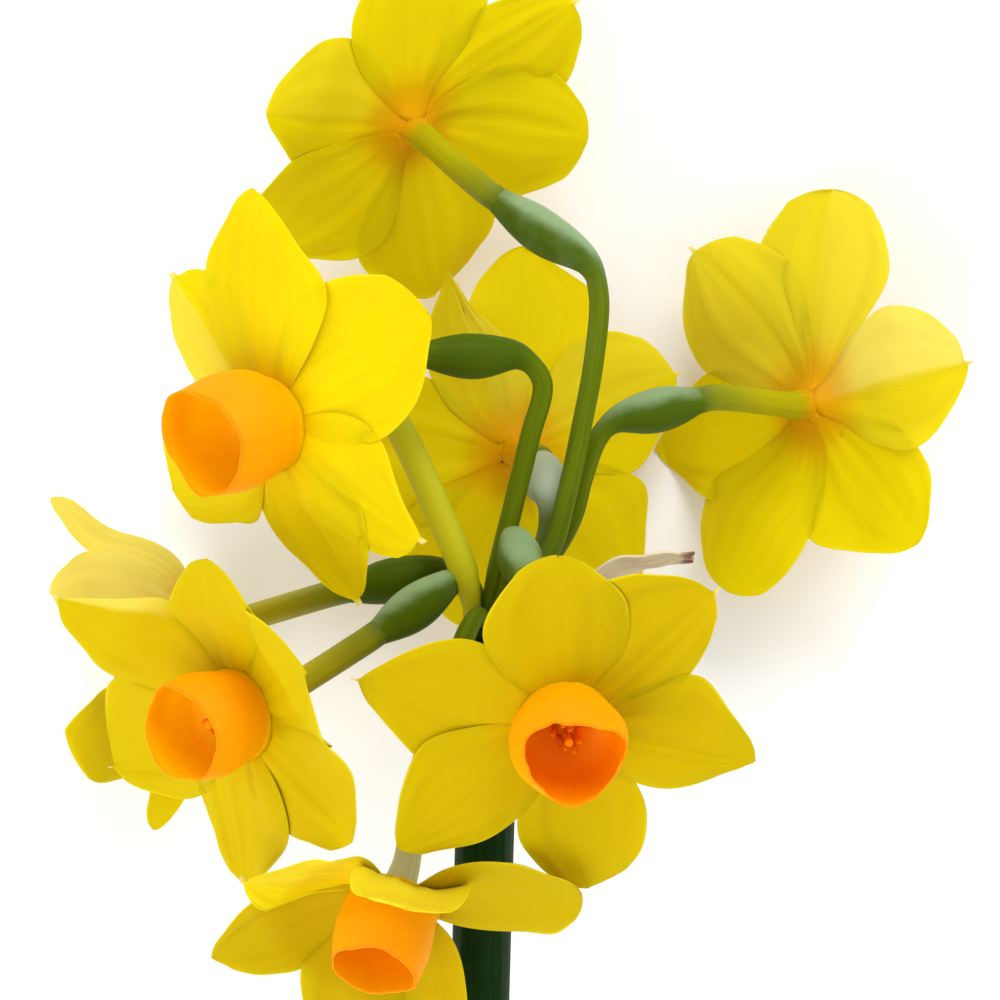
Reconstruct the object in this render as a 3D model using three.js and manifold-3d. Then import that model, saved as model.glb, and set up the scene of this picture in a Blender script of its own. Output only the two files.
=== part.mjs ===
// A picked daffodil of the cluster-flowered kind: one green scape that carries eight open
// florets and a bud on pedicels which all spring from its top, with the dry spathe beside them.
// It lies on a surface. Millimetres: +X to the right, +Y from the cut end to the flowers,
// +Z up. The layout below is measured from the joint, the top of the scape where the pedicels
// spring. At the end the group is moved so that its origin is the middle of its footprint.
import * as THREE from 'three';
import { mergeVertices } from 'three/addons/utils/BufferGeometryUtils.js';
import Module from 'manifold-3d';

const wasm = await Module();
wasm.setup();

// Driving dimensions
const GAP = 0.3; // clearance between neighbouring pieces
const JOINT_HEIGHT = 35; // of the joint above the surface
const FLOOR = -JOINT_HEIGHT;

const SCAPE_LENGTH = 152;
const SCAPE_HALF_WIDTH = 3.0;
const SCAPE_HALF_DEPTH = 2.6;
const SCAPE_TOP = [1.3, -0.6, 0];
const SCAPE_BOW = 1.6; // sideways bow of the scape halfway along

const PEDICEL_RADIUS = 1.1;
const ROOT_RADIUS = 0.68; // of a pedicel where it springs from the scape
const ROOT_CIRCLE = 2.25; // the pedicels round the middle one stand on this circle
const ROOT_TAPER = 6; // length over which a pedicel thickens from its root
const ROOT_RISE = 2; // the first stretch of a pedicel runs straight up the scape's axis

const OVARY_RADIUS = 2.4;
const OVARY_TOP_RADIUS = 1.6;
const OVARY_REACH = 1.15; // the swelling ends this far down, as a share of the ovary's length
const SWELLING = 0.8; // exponent: below 1 the swelling is fuller and nearer the tube

const TUBE_RADIUS = 1.5;
const TUBE_STRAIGHT = 4; // length of the tube that runs straight on from the ovary
const THROAT_RADIUS = 4.4;
const THROAT_DEPTH = 3.4; // over which the tube widens into the throat
const THROAT_TOP = 0.75; // the throat disc stands this far in front of the throat point
// The throat's outline: shares of its radius and of its depth.
const THROAT_SHAPE = [[0.33, -1], [0.51, -0.55], [0.95, -0.28], [1, 0]];
const THROAT_RIM = 0.95; // the disc's edge is drawn in to this share of the radius

const TEPAL_THICKNESS = 0.62;
const TEPAL_ROOT = 0.11; // share of the length where the blade starts, inside the throat
const TEPAL_WIDEST = 0.56; // share of the length where the blade is widest
const TEPAL_BEND = [0.18, 0.7]; // the shares between which it turns from flat to its rise
const EDGE_LIFT = 0.1; // rise of a tepal's edges, as a share of its half width
const LAYER_OFFSET = 0.42; // inner tepals lie this far in front of the throat plane
const INNER_WIDTH = 14.2;
const OUTER_WIDTH = 15;
const INNER_TIP = 0.6; // exponent of the tip's outline: smaller is rounder
const OUTER_TIP = 0.78;
const CLAW_SHARE = 0.16; // width at the throat point, as a share of the greatest width
const TIP_SHARE = 0.045; // the tip ends this wide, as a share of the greatest width

const CORONA_BASE_RADIUS = 4.6;
const CORONA_WALL = 0.75;
// The cup's outline: shares of the way from base to body radius, and of the height.
const CORONA_SHAPE = [[0, 0], [0.6, 0.22], [1, 0.6]];

const STYLE_LENGTH = 5.4;
const STYLE_RADIUS = 0.55;
const ANTHER_LENGTH = 3.2;
const ANTHER_RADIUS = 0.62;
const ANTHER_CIRCLE = 1.25;
const PAD_MARGIN = 0.5; // of the pad round the circle of anthers
const PAD_THICKNESS = 0.7;
const STAMEN_SINK = 0.35; // depth that style and anthers stand in the pad

const SPATHE_START = [5.1, -2.4, -0.4];
const SPATHE_LENGTH = 18.6;
const SPATHE_RISE = 7.9; // towards the flowers over the first two thirds
const SPATHE_ARCH = 1.2;
const SPATHE_WIDTH = 6;
const SPATHE_TWIST = 0.3; // sideways share of the width
const SPATHE_THICKNESS = 0.65;

const PEDICEL_SIDES = 7;
const OVARY_STEPS = 7;
const PEDICEL_STEP = 3; // length of a step along the pedicel
const TUBE_SIDES = 7;
const TUBE_STEPS = 6;
const BUD_STEPS = 10;
const PAD_SIDES = 8;
const STAMEN_SIDES = 5;
const ANTHER_RINGS = 3;
const SCAPE_SIDES = 12;
const SCAPE_STEPS = 10;
const SPATHE_STEPS = 7;
const SPATHE_COLUMNS = 3;
const THROAT_SIDES = 10;
const CORONA_SIDES = 12;
const TEPAL_STATIONS = [0, 0.22, 0.46, 0.68, 0.88, 1];
const TEPAL_COLUMNS = 2;

// The florets. throat is the point where the six tepals meet and facing is the way the corona
// points. The tube runs back from the throat to tubeEnd, the ovary from there to ovaryBase,
// and the pedicel on through bends to root: its place on the scape's top, in degrees round it,
// or null for the middle. cup is the corona's height, its body's radius and its rim's radius.
// A tepal is [turn, rise, length, curl, breadth]: its direction round the facing axis as seen
// from above, its rise in front of the throat plane at the tip, its length from the throat
// point, how far it bends forward and its width as a share of the usual one.
const FLORETS = [
  {
    name: 'top',
    throat: [-7.8, 54.2, -14],
    facing: [-0.51, 0.44, -0.74],
    cup: [8.8, 6.1, 5.9],
    tubeEnd: [2.2, 45.2, -1.4],
    ovaryBase: [12, 38.2, 0.6],
    bends: [[13, 35, 0.9], [12.5, 28, 1.1], [11.1, 20.5, 1.3], [9.7, 14, 1.4], [7.8, 7.5, 1.4]],
    root: 15,
    outerFirst: true,
    tepals: [
      [6, -12, 21.5, -6, 1],
      [48, -9, 23, -8, 1],
      [104, -4, 22.5, -8, 1],
      [175, -10, 22, -10, 1],
      [-119, 10, 21, 8, 1],
      [-64, 1, 22.4, 0, 1],
    ],
  },
  {
    name: 'upleft',
    throat: [-21.8, 20.9, 14],
    facing: [-0.66, -0.2, 0.72],
    cup: [9, 6.1, 6],
    tubeEnd: [-5.6, 28.4, 6],
    ovaryBase: [4.6, 28.2, 3],
    bends: [[6.9, 25.6, 2.6], [5.6, 19.6, 1.8], [3.9, 12.6, 0.4], [2.4, 6.6, -0.3]],
    root: null,
    outerFirst: true,
    tepals: [
      [30, -22, 21.8, -12, 1],
      [88, -4, 24.5, -6, 1.2],
      [131, -2, 21.4, 0, 0.8],
      [-132, -18, 18.6, 0, 1],
      [-60, 1, 21.2, -6, 0.85],
      [-34, -8, 22, -10, 0.95],
    ],
  },
  {
    name: 'middle',
    throat: [2.6, 18.9, -23.6],
    facing: [-0.22, 0.02, -0.97],
    cup: [8.4, 6, 5.8],
    tubeEnd: [7.2, 19, -9],
    ovaryBase: [7.6, 12.6, -1.8],
    bends: [[7.5, 9.4, -1.3], [6.2, 6.2, -1.2], [4.4, 3.6, -1.1]],
    root: 330,
    outerFirst: true,
    tepals: [
      [25, 2, 22.5, -8, 1],
      [84, 4, 22.5, -8, 1],
      [112, -7, 21.8, 0, 1],
      [172, 0, 20, 0, 1],
      [-104, 10, 21, 6, 1],
      [-50, 2, 22, 0, 1],
    ],
  },
  {
    name: 'right',
    throat: [37.4, 23.5, -21],
    facing: [0.66, 0.02, -0.75],
    cup: [8.8, 6.1, 5.9],
    tubeEnd: [24, 23.7, -7.6],
    ovaryBase: [14.8, 21.4, -3.4],
    bends: [[13, 19.6, -2.8], [11.4, 15.4, -2.4], [10.2, 11, -2.6], [7.8, 6.8, -4], [4.4, 3.4, -3.8]],
    root: 285,
    outerFirst: true,
    tepals: [
      [12, 3, 21, 8, 1],
      [86, 4, 23, 4, 1],
      [126, -14, 22.4, -8, 1],
      [-167, -2, 22.8, -6, 1],
      [-110, -12, 23, -6, 1],
      [-50, 5, 21.4, 6, 1],
    ],
  },
  {
    name: 'left',
    throat: [-25.6, -9.8, 11],
    facing: [-0.61, -0.19, 0.77],
    cup: [7.8, 5.9, 5],
    tubeEnd: [-10.6, -1.2, 5.6],
    ovaryBase: [-2.6, 4.2, 4],
    bends: [[-0.8, 4.6, 3.4]],
    root: 150,
    outerFirst: false,
    tepals: [
      [26, 20, 20, 8, 1],
      [79, 18, 19.8, 6, 1],
      [137, 22, 23, 8, 1],
      [-162, -3, 21, 0, 1],
      [-90, -9, 20.4, 0, 0.9],
      [-41, 1, 21, 8, 1],
    ],
  },
  {
    name: 'front',
    throat: [9.1, -10.6, 18],
    facing: [0.1, -0.38, 0.92],
    cup: [8.6, 6.1, 5.6],
    tubeEnd: [4.3, 5.8, 13.2],
    ovaryBase: [4.1, 7.7, 3.6],
    bends: [[3.6, 5, 2.8]],
    root: 60,
    outerFirst: false,
    tepals: [
      [-13, -3, 21, -6, 1],
      [45, 0, 21.8, -6, 1],
      [95, 3, 20, -6, 1],
      [167, -1, 22.6, 6, 1],
      [-141, 2, 21.8, -6, 1],
      [-79, -6, 19.8, -8, 1],
    ],
  },
  {
    name: 'low',
    throat: [-8.8, -29.7, 6],
    facing: [-0.25, -0.8, 0.54],
    cup: [8.3, 5.8, 5.2],
    tubeEnd: [-5.8, -14.4, 1.6],
    ovaryBase: [-4.6, -4.6, 6.2],
    bends: [[-2.6, -1.4, 7.4], [0.4, 1.6, 6], [1.2, 2.7, 4.6]],
    root: 105,
    outerFirst: true,
    tepals: [
      [-2, 0, 21, 0, 1],
      [62, 30, 15, 20, 1],
      [131, 26, 18, 8, 1],
      [180, 22, 21, 8, 1],
      [-128, 30, 20, 8, 1],
      [-70, 22, 21, 8, 1],
    ],
  },
  {
    name: 'farleft',
    throat: [-31.4, -1.5, -13.4],
    facing: [-0.93, -0.2, -0.3],
    cup: [8.6, 6, 5.8],
    tubeEnd: [-14, 3.2, -4.6],
    ovaryBase: [-4.2, 5.4, -3.6],
    bends: [[-1.8, 4.8, -3.4]],
    root: 240,
    outerFirst: true,
    tepals: [
      [-5, 18, 23, 6, 1],
      [44, 38, 21, 8, 1],
      [97, 36, 21.8, 8, 0.7],
      [150, 14, 20, 8, 0.9],
      [-126, 34, 20.5, 8, 0.9],
      [-74, 20, 21, 8, 0.8],
    ],
  },
];

// The bud has a stalk like the others, and its closed tepals end at tip.
const BUD = {
  name: 'bud',
  tubeEnd: [-15.6, 29.6, -7.6],
  ovaryBase: [-11, 23.4, -5.4],
  bends: [[-8.6, 19, -4.2], [-5.2, 11.6, -1.4], [-2, 5.2, 0.4]],
  root: 195,
  tip: [-29.4, 27.5, -9.5],
  neck: 1.45, // radius where it leaves the ovary
  point: 0.25, // radius at the tip
  swell: 2.6,
  lean: 1.25, // above 1 the widest place is nearer the tip
};

const material = (name, color, roughness) =>
  new THREE.MeshStandardMaterial({ name, color, roughness, metalness: 0 });

const radians = THREE.MathUtils.degToRad;
const vec = (list) => new THREE.Vector3(...list);

// Turns the faces of a closed geometry outwards if they point in.
function facingOut(geometry) {
  const p = geometry.attributes.position;
  const index = geometry.index.array;
  let volume = 0;
  for (let i = 0; i < index.length; i += 3) {
    const [a, b, c] = [0, 1, 2].map((k) => new THREE.Vector3().fromBufferAttribute(p, index[i + k]));
    volume += a.dot(b.cross(c));
  }
  if (volume < 0) {
    for (let i = 0; i < index.length; i += 3) {
      [index[i], index[i + 1]] = [index[i + 1], index[i]];
    }
  }
  return geometry;
}

function indexed(points, triangles) {
  const geometry = new THREE.BufferGeometry();
  geometry.setAttribute('position', new THREE.Float32BufferAttribute(points, 3));
  geometry.setIndex(triangles);
  return facingOut(geometry);
}

// A thin blade: its middle surface is place(u, v), with u at the stations and v from -1 to 1
// in equal columns. Both faces are split into triangles alike.
function blade(place, thickness, stations, columns) {
  const STEP = 0.01;
  const points = [];
  const rows = stations.length;
  const side = [[], []];
  for (const u of stations) {
    for (let j = 0; j <= columns; j++) {
      const v = -1 + (2 * j) / columns;
      const [u0, u1] = [Math.max(0, u - STEP), Math.min(1, u + STEP)];
      const [v0, v1] = [Math.max(-1, v - STEP), Math.min(1, v + STEP)];
      const along = place(u1, v).sub(place(u0, v));
      const across = place(u, v1).sub(place(u, v0));
      const normal = along.cross(across).normalize();
      [1, -1].forEach((sign, k) => {
        side[k].push(points.length / 3);
        points.push(...place(u, v).addScaledVector(normal, (sign * thickness) / 2).toArray());
      });
    }
  }
  const triangles = [];
  const quad = (a, b, c, d) => triangles.push(a, b, c, a, c, d);
  const at = (k, i, j) => side[k][i * (columns + 1) + j];
  for (let i = 0; i < rows - 1; i++) {
    for (let j = 0; j < columns; j++) {
      quad(at(0, i, j), at(0, i + 1, j), at(0, i + 1, j + 1), at(0, i, j + 1));
      triangles.push(at(1, i, j), at(1, i + 1, j + 1), at(1, i + 1, j));
      triangles.push(at(1, i, j), at(1, i, j + 1), at(1, i + 1, j + 1));
    }
    quad(at(0, i, 0), at(1, i, 0), at(1, i + 1, 0), at(0, i + 1, 0));
    quad(at(0, i, columns), at(0, i + 1, columns), at(1, i + 1, columns), at(1, i, columns));
  }
  for (let j = 0; j < columns; j++) {
    quad(at(0, 0, j), at(0, 0, j + 1), at(1, 0, j + 1), at(1, 0, j));
    const end = rows - 1;
    quad(at(0, end, j), at(1, end, j), at(1, end, j + 1), at(0, end, j + 1));
  }
  return indexed(points, triangles);
}

// A stalk along a curve, with the radius radiusAt(length from the start), closed at both ends.
function stalk(curve, radiusAt, steps, sides, squash = 1) {
  const total = curve.getLength();
  const frames = curve.computeFrenetFrames(steps.length - 1, false);
  const points = [];
  let across = frames.normals[0].clone();
  steps.forEach((share) => {
    const centre = curve.getPointAt(share);
    const tangent = curve.getTangentAt(share);
    across = across.addScaledVector(tangent, -across.dot(tangent)).normalize();
    const other = tangent.clone().cross(across);
    const radius = radiusAt(share * total, total);
    for (let k = 0; k < sides; k++) {
      const angle = (2 * Math.PI * k) / sides;
      const spot = centre.clone().addScaledVector(across, radius * Math.cos(angle));
      points.push(...spot.addScaledVector(other, radius * squash * Math.sin(angle)).toArray());
    }
  });
  const triangles = [];
  for (let i = 0; i < steps.length - 1; i++) {
    for (let k = 0; k < sides; k++) {
      const next = (k + 1) % sides;
      const [a, b, c, d] = [i * sides + k, i * sides + next, (i + 1) * sides + next, (i + 1) * sides + k];
      triangles.push(a, b, c, a, c, d);
    }
  }
  const last = (steps.length - 1) * sides;
  for (let k = 1; k < sides - 1; k++) {
    triangles.push(0, k + 1, k, last, last + k, last + k + 1);
  }
  return indexed(points, triangles);
}

const smooth = (route) => new THREE.CatmullRomCurve3(route, false, 'centripetal');
const evenSteps = (count) => Array.from({ length: count + 1 }, (_, i) => i / count);

function solid(geometry) {
  const bare = geometry.clone();
  bare.deleteAttribute('normal');
  bare.deleteAttribute('uv');
  const merged = mergeVertices(bare, 1e-4);
  return new wasm.Manifold(
    new wasm.Mesh({
      numProp: 3,
      vertProperties: new Float32Array(merged.attributes.position.array),
      triVerts: new Uint32Array(merged.index.array),
    }),
  );
}

function geometryOf(body) {
  const mesh = body.getMesh();
  const geometry = new THREE.BufferGeometry();
  geometry.setAttribute('position', new THREE.Float32BufferAttribute(mesh.vertProperties, 3));
  geometry.setIndex(Array.from(mesh.triVerts));
  return geometry;
}

const fuse = (geometries) => geometryOf(geometries.map(solid).reduce((a, b) => a.add(b)));

// The axes of a floret: right and up span the throat plane as seen from above, out is facing.
function axesOf(facing) {
  const out = vec(facing).normalize();
  const up = new THREE.Vector3(0, 1, 0).addScaledVector(out, -out.y).normalize();
  const right = up.clone().cross(out);
  if (right.x < 0) right.negate();
  return { right, up, out };
}

// Half the width of a tepal at the share s of its length, for a greatest width of 2.
function tepalOutline(s, tip) {
  if (s < TEPAL_WIDEST) {
    const grown = Math.sin((Math.PI / 2) * (s / TEPAL_WIDEST)) ** 1.35;
    return CLAW_SHARE + (1 - CLAW_SHARE) * grown;
  }
  const q = (s - TEPAL_WIDEST) / (1 - TEPAL_WIDEST);
  return Math.max(TIP_SHARE, (1 - q * q) ** tip);
}

function tepal(floret, numbers, outer) {
  const [turn, rise, length, curl, breadth] = numbers;
  const { right, up, out } = axesOf(floret.facing);
  const away = right.clone().multiplyScalar(Math.cos(radians(turn)));
  away.addScaledVector(up, Math.sin(radians(turn)));
  const sideways = out.clone().cross(away);
  const start = vec(floret.throat).addScaledVector(out, outer ? -LAYER_OFFSET : LAYER_OFFSET);
  const place = (u, v) => {
    const s = TEPAL_ROOT + (1 - TEPAL_ROOT) * u;
    const bend = THREE.MathUtils.smoothstep(s, ...TEPAL_BEND);
    const angle = radians(rise + (curl * (s - 1)) / 2) * bend;
    const width = breadth * (outer ? OUTER_WIDTH : INNER_WIDTH);
    const half = (width / 2) * tepalOutline(s, outer ? OUTER_TIP : INNER_TIP);
    const lift = EDGE_LIFT * half * v * v * bend;
    const spot = start.clone();
    spot.addScaledVector(away, length * s * Math.cos(angle) - lift * Math.sin(angle));
    spot.addScaledVector(out, length * s * Math.sin(angle) + lift * Math.cos(angle));
    spot.addScaledVector(sideways, half * v);
    spot.z = Math.max(spot.z, FLOOR + TEPAL_THICKNESS / 2);
    return spot;
  };
  return blade(place, TEPAL_THICKNESS, TEPAL_STATIONS, TEPAL_COLUMNS);
}

// Turns a geometry whose axis is +Z to the floret's facing and moves it to the throat point.
function onThroat(floret, geometry) {
  const { out } = axesOf(floret.facing);
  const turn = new THREE.Quaternion().setFromUnitVectors(new THREE.Vector3(0, 0, 1), out);
  geometry.applyQuaternion(turn);
  return geometry.translate(...floret.throat);
}

function lathed(profile, sides) {
  const points = profile.map(([r, h]) => new THREE.Vector2(r, h));
  const geometry = new THREE.LatheGeometry(points, sides);
  geometry.rotateX(Math.PI / 2);
  geometry.deleteAttribute('normal');
  geometry.deleteAttribute('uv');
  return facingOut(mergeVertices(geometry, 1e-4));
}

// Six tepals, the throat they meet in and the tube behind it, grown as one.
function perianth(floret) {
  const { out } = axesOf(floret.facing);
  const throat = vec(floret.throat);
  const end = vec(floret.tubeEnd);
  const ovaryWay = vec(floret.ovaryBase).sub(end).normalize();
  const curve = smooth([
    throat.clone(),
    throat.clone().addScaledVector(out, -THROAT_DEPTH - 1),
    end.clone().addScaledVector(ovaryWay, -TUBE_STRAIGHT),
    end.clone().addScaledVector(ovaryWay, -GAP),
  ]);
  const tube = stalk(curve, () => TUBE_RADIUS, evenSteps(TUBE_STEPS), TUBE_SIDES);
  const profile = [
    [0, -THROAT_DEPTH],
    ...THROAT_SHAPE.map(([r, h]) => [r * THROAT_RADIUS, h * THROAT_DEPTH]),
    [THROAT_RIM * THROAT_RADIUS, THROAT_TOP],
    [0, THROAT_TOP],
  ];
  const throatBody = onThroat(floret, lathed(profile, THROAT_SIDES));
  const isOuter = (k) => (k % 2 === 0) === floret.outerFirst;
  const tepals = floret.tepals.map((numbers, k) => tepal(floret, numbers, isOuter(k)));
  return fuse([throatBody, tube, ...tepals]);
}

// The cup that stands on the throat, open at its mouth and down to the throat.
function corona(floret) {
  const [height, body, rim] = floret.cup;
  const widening = body - CORONA_BASE_RADIUS;
  const wall = CORONA_SHAPE.map(([r, h]) => [CORONA_BASE_RADIUS + r * widening, h * height]);
  wall.push([rim, height]);
  const inside = wall.map(([r, h]) => [r - CORONA_WALL, h]).reverse();
  const base = THROAT_TOP + GAP;
  const profile = [...wall, ...inside, wall[0]].map(([r, h]) => [r, h + base]);
  return onThroat(floret, lathed(profile, CORONA_SIDES));
}

// The style and three anthers, standing on a small pad in the throat.
function stamens(floret) {
  const base = THROAT_TOP + GAP;
  const padRadius = ANTHER_CIRCLE + PAD_MARGIN;
  const pad = new THREE.CylinderGeometry(padRadius, padRadius, PAD_THICKNESS, PAD_SIDES);
  pad.rotateX(Math.PI / 2).translate(0, 0, base + PAD_THICKNESS / 2);
  const foot = base + PAD_THICKNESS - STAMEN_SINK;
  const style = new THREE.CylinderGeometry(STYLE_RADIUS, STYLE_RADIUS, STYLE_LENGTH, STAMEN_SIDES);
  style.rotateX(Math.PI / 2).translate(0, 0, foot + STYLE_LENGTH / 2);
  const anthers = [0, 1, 2].map((k) => {
    const anther = new THREE.SphereGeometry(ANTHER_RADIUS, STAMEN_SIDES, ANTHER_RINGS);
    anther.scale(1, ANTHER_LENGTH / (2 * ANTHER_RADIUS), 1).rotateX(Math.PI / 2);
    const angle = (2 * Math.PI * k) / 3;
    const [x, y] = [ANTHER_CIRCLE * Math.cos(angle), ANTHER_CIRCLE * Math.sin(angle)];
    return anther.translate(x, y, foot + ANTHER_LENGTH / 2);
  });
  return onThroat(floret, fuse([pad, style, ...anthers]));
}

// The scape's slope, the way its top points, and the way across its top towards the camera.
const SCAPE_SLOPE = Math.asin((JOINT_HEIGHT - SCAPE_HALF_DEPTH) / SCAPE_LENGTH);
const SCAPE_WAY = vec([0, Math.cos(SCAPE_SLOPE), Math.sin(SCAPE_SLOPE)]);
const SCAPE_FRONT = vec([0, -Math.sin(SCAPE_SLOPE), Math.cos(SCAPE_SLOPE)]);

// Where a pedicel springs from the scape's top.
function rootPoint(root) {
  const spot = vec(SCAPE_TOP).addScaledVector(SCAPE_WAY, GAP);
  if (root === null) return spot;
  const angle = radians(root);
  spot.x += ROOT_CIRCLE * Math.cos(angle);
  return spot.addScaledVector(SCAPE_FRONT, ROOT_CIRCLE * Math.sin(angle));
}

// The ovary below the tube and the pedicel that carries it, grown as one.
function pedicel(floret) {
  const top = vec(floret.tubeEnd);
  const base = vec(floret.ovaryBase);
  const root = rootPoint(floret.root);
  const middle = top.clone().lerp(base, 0.5);
  const rise = root.clone().addScaledVector(SCAPE_WAY, ROOT_RISE);
  const curve = smooth([top, middle, base, ...floret.bends.map(vec), rise, root]);
  const swollen = top.distanceTo(base) * OVARY_REACH;
  const radiusAt = (length, total) => {
    const toRoot = total - length;
    const thin = ROOT_RADIUS + (PEDICEL_RADIUS - ROOT_RADIUS) * Math.min(1, toRoot / ROOT_TAPER);
    if (length > swollen) return thin;
    const share = length / swollen;
    const swell = Math.sin(Math.PI * share ** SWELLING) ** SWELLING;
    const ends = OVARY_TOP_RADIUS + (thin - OVARY_TOP_RADIUS) * share;
    return ends + (OVARY_RADIUS - ends) * swell;
  };
  const total = curve.getLength();
  const ovaryShare = swollen / total;
  const ovarySteps = evenSteps(OVARY_STEPS).map((x) => x * ovaryShare);
  const rest = Math.max(PEDICEL_STEP, Math.round((total - swollen) / PEDICEL_STEP));
  const stalkSteps = evenSteps(rest).slice(1).map((x) => ovaryShare + (1 - ovaryShare) * x);
  return stalk(curve, radiusAt, [...ovarySteps, ...stalkSteps], PEDICEL_SIDES);
}

// The closed tepals of the bud.
function budHead() {
  const start = vec(BUD.tubeEnd);
  const way = start.clone().sub(vec(BUD.ovaryBase)).normalize();
  const tip = vec(BUD.tip);
  const curve = smooth([
    start.clone().addScaledVector(way, GAP),
    start.clone().addScaledVector(way, TUBE_STRAIGHT),
    start.clone().lerp(tip, 0.6),
    tip,
  ]);
  const radiusAt = (length, total) => {
    const share = length / total;
    const plain = BUD.neck + (BUD.point - BUD.neck) * share;
    return plain + BUD.swell * Math.sin(Math.PI * share ** BUD.lean) ** BUD.lean;
  };
  return stalk(curve, radiusAt, evenSteps(BUD_STEPS), PEDICEL_SIDES);
}

// The scape, slightly flattened, from its top down to the cut end on the surface.
function scape() {
  const top = vec(SCAPE_TOP);
  const end = top.clone().addScaledVector(SCAPE_WAY, -SCAPE_LENGTH);
  const middle = top.clone().lerp(end, 0.5).add(vec([-SCAPE_BOW, 0, 0]));
  const flatness = SCAPE_HALF_DEPTH / SCAPE_HALF_WIDTH;
  const curve = smooth([top, middle, end]);
  return stalk(curve, () => SCAPE_HALF_WIDTH, evenSteps(SCAPE_STEPS), SCAPE_SIDES, flatness);
}

// The dry spathe: a papery strip that starts beside the scape's top and points to the right.
function spathe() {
  const place = (u, v) => {
    const half = (SPATHE_WIDTH / 2) * (0.45 + 0.55 * Math.sin(Math.PI * (0.2 + 0.75 * u)));
    const y = SPATHE_RISE * Math.sin((Math.PI / 2) * Math.min(1, u * 1.5));
    const z = SPATHE_ARCH * Math.sin(Math.PI * u) + half * v;
    return vec([SPATHE_LENGTH * u, y + SPATHE_TWIST * half * v, z]).add(vec(SPATHE_START));
  };
  return blade(place, SPATHE_THICKNESS, evenSteps(SPATHE_STEPS), SPATHE_COLUMNS);
}

const petalYellow = material('tepal', 0xf0d400, 0.5);
const coronaOrange = material('corona', 0xff9500, 0.5);
const antherYellow = material('stamen', 0xe0a020, 0.7);
const stalkGreen = material('stalk', 0x5f8a14, 0.5);
const scapeGreen = material('scape', 0x2c5226, 0.5);
const budYellow = material('bud', 0xd8cc20, 0.5);
const dryBrown = material('spathe', 0xbfa07c, 0.8);

const flower = new THREE.Group();
const addPiece = (name, geometry, skin) => {
  const mesh = new THREE.Mesh(geometry, skin);
  mesh.name = name;
  flower.add(mesh);
};

addPiece('scape', scape(), scapeGreen);
addPiece('spathe', spathe(), dryBrown);
for (const floret of FLORETS) {
  addPiece(`${floret.name}_perianth`, perianth(floret), petalYellow);
  addPiece(`${floret.name}_corona`, corona(floret), coronaOrange);
  addPiece(`${floret.name}_stamens`, stamens(floret), antherYellow);
  addPiece(`${floret.name}_pedicel`, pedicel(floret), stalkGreen);
}
addPiece('bud_head', budHead(), budYellow);
addPiece('bud_pedicel', pedicel(BUD), stalkGreen);

const box = new THREE.Box3().setFromObject(flower);
const centre = box.getCenter(new THREE.Vector3());
flower.position.set(-centre.x, -centre.y, -box.min.z);

export default flower;
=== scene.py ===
# %% [markdown]
# # A cut daffodil with a cluster of flowers
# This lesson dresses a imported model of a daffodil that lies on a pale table. The model is the
# frame: it says where the long green stem (the scape), the eight open flowers and the bud are.
# Each faceted solid is replaced by a finer piece that keeps its place and its form.

import math

import bmesh
import bpy
import numpy as np
from mathutils import Matrix, Vector


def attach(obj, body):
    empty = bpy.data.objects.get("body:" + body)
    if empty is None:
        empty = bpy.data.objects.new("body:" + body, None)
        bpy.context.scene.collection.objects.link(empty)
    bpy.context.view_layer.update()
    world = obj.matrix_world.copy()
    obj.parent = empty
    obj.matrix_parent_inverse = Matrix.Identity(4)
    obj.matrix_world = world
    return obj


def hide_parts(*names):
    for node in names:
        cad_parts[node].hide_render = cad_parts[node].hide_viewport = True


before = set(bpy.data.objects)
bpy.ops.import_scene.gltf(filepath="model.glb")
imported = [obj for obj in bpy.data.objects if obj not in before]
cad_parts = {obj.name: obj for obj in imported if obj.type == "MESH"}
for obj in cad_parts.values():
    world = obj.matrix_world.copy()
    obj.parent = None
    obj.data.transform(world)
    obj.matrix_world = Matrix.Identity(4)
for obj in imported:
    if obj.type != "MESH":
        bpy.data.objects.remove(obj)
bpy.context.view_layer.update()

# %% [markdown]
# ## Measures
# The flower is laid out in millimetres round the joint, the top of the scape where all the
# pedicels spring. Blender works in metres, so every point is moved from the joint to its
# place over the table and made a thousand times smaller in one function. SEAM is the small
# step between the end of one piece and the start of the next one.

# %% Millimetres round the joint
MM = 0.001
JOINT = np.array([-3.11, 38.28, 35.0])
TABLE = -35.0
SEAM = 0.3


def placed(points):
    return (np.asarray(points, float) + JOINT) * MM


def unit(vectors):
    vectors = np.asarray(vectors, float)
    return vectors / np.maximum(np.linalg.norm(vectors, axis=-1, keepdims=True), 1e-9)


def smoothstep(low, high, x):
    t = np.clip((np.asarray(x, float) - low) / (high - low), 0, 1)
    return t * t * (3 - 2 * t)


def nearness(angle, place, spread):
    """How near an angle is to a place, in degrees: 1 at the place, 0 far from it."""
    off = (angle - place + 180) % 360 - 180
    return np.exp(-(off / spread) ** 2)


def new_object(name, data):
    made = bpy.data.objects.new(name, data)
    bpy.context.scene.collection.objects.link(made)
    return made


print("joint at", placed([0, 0, 0]).round(4))

# %% [markdown]
# ## Camera
# The photograph looks straight at the flowers, so the camera hangs above the lying flower and
# looks down on it. A long lens, 600 mm away, gives the photograph's small perspective.

# %% The camera
CAMERA_SPOT = [2.37, 12.9, 600.0]
SENSOR = 36.0
VIEW_WIDTH = 107.53

camera_data = bpy.data.cameras.new("camera")
camera_data.sensor_width = SENSOR
camera_data.lens = SENSOR * CAMERA_SPOT[2] / VIEW_WIDTH
camera_data.dof.use_dof = False
camera_data.clip_start = 0.05
camera_data.clip_end = 20
camera = new_object("camera", camera_data)
camera.location = placed(CAMERA_SPOT)
bpy.context.scene.camera = camera
print("lens", round(camera_data.lens, 1), "mm")

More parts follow.
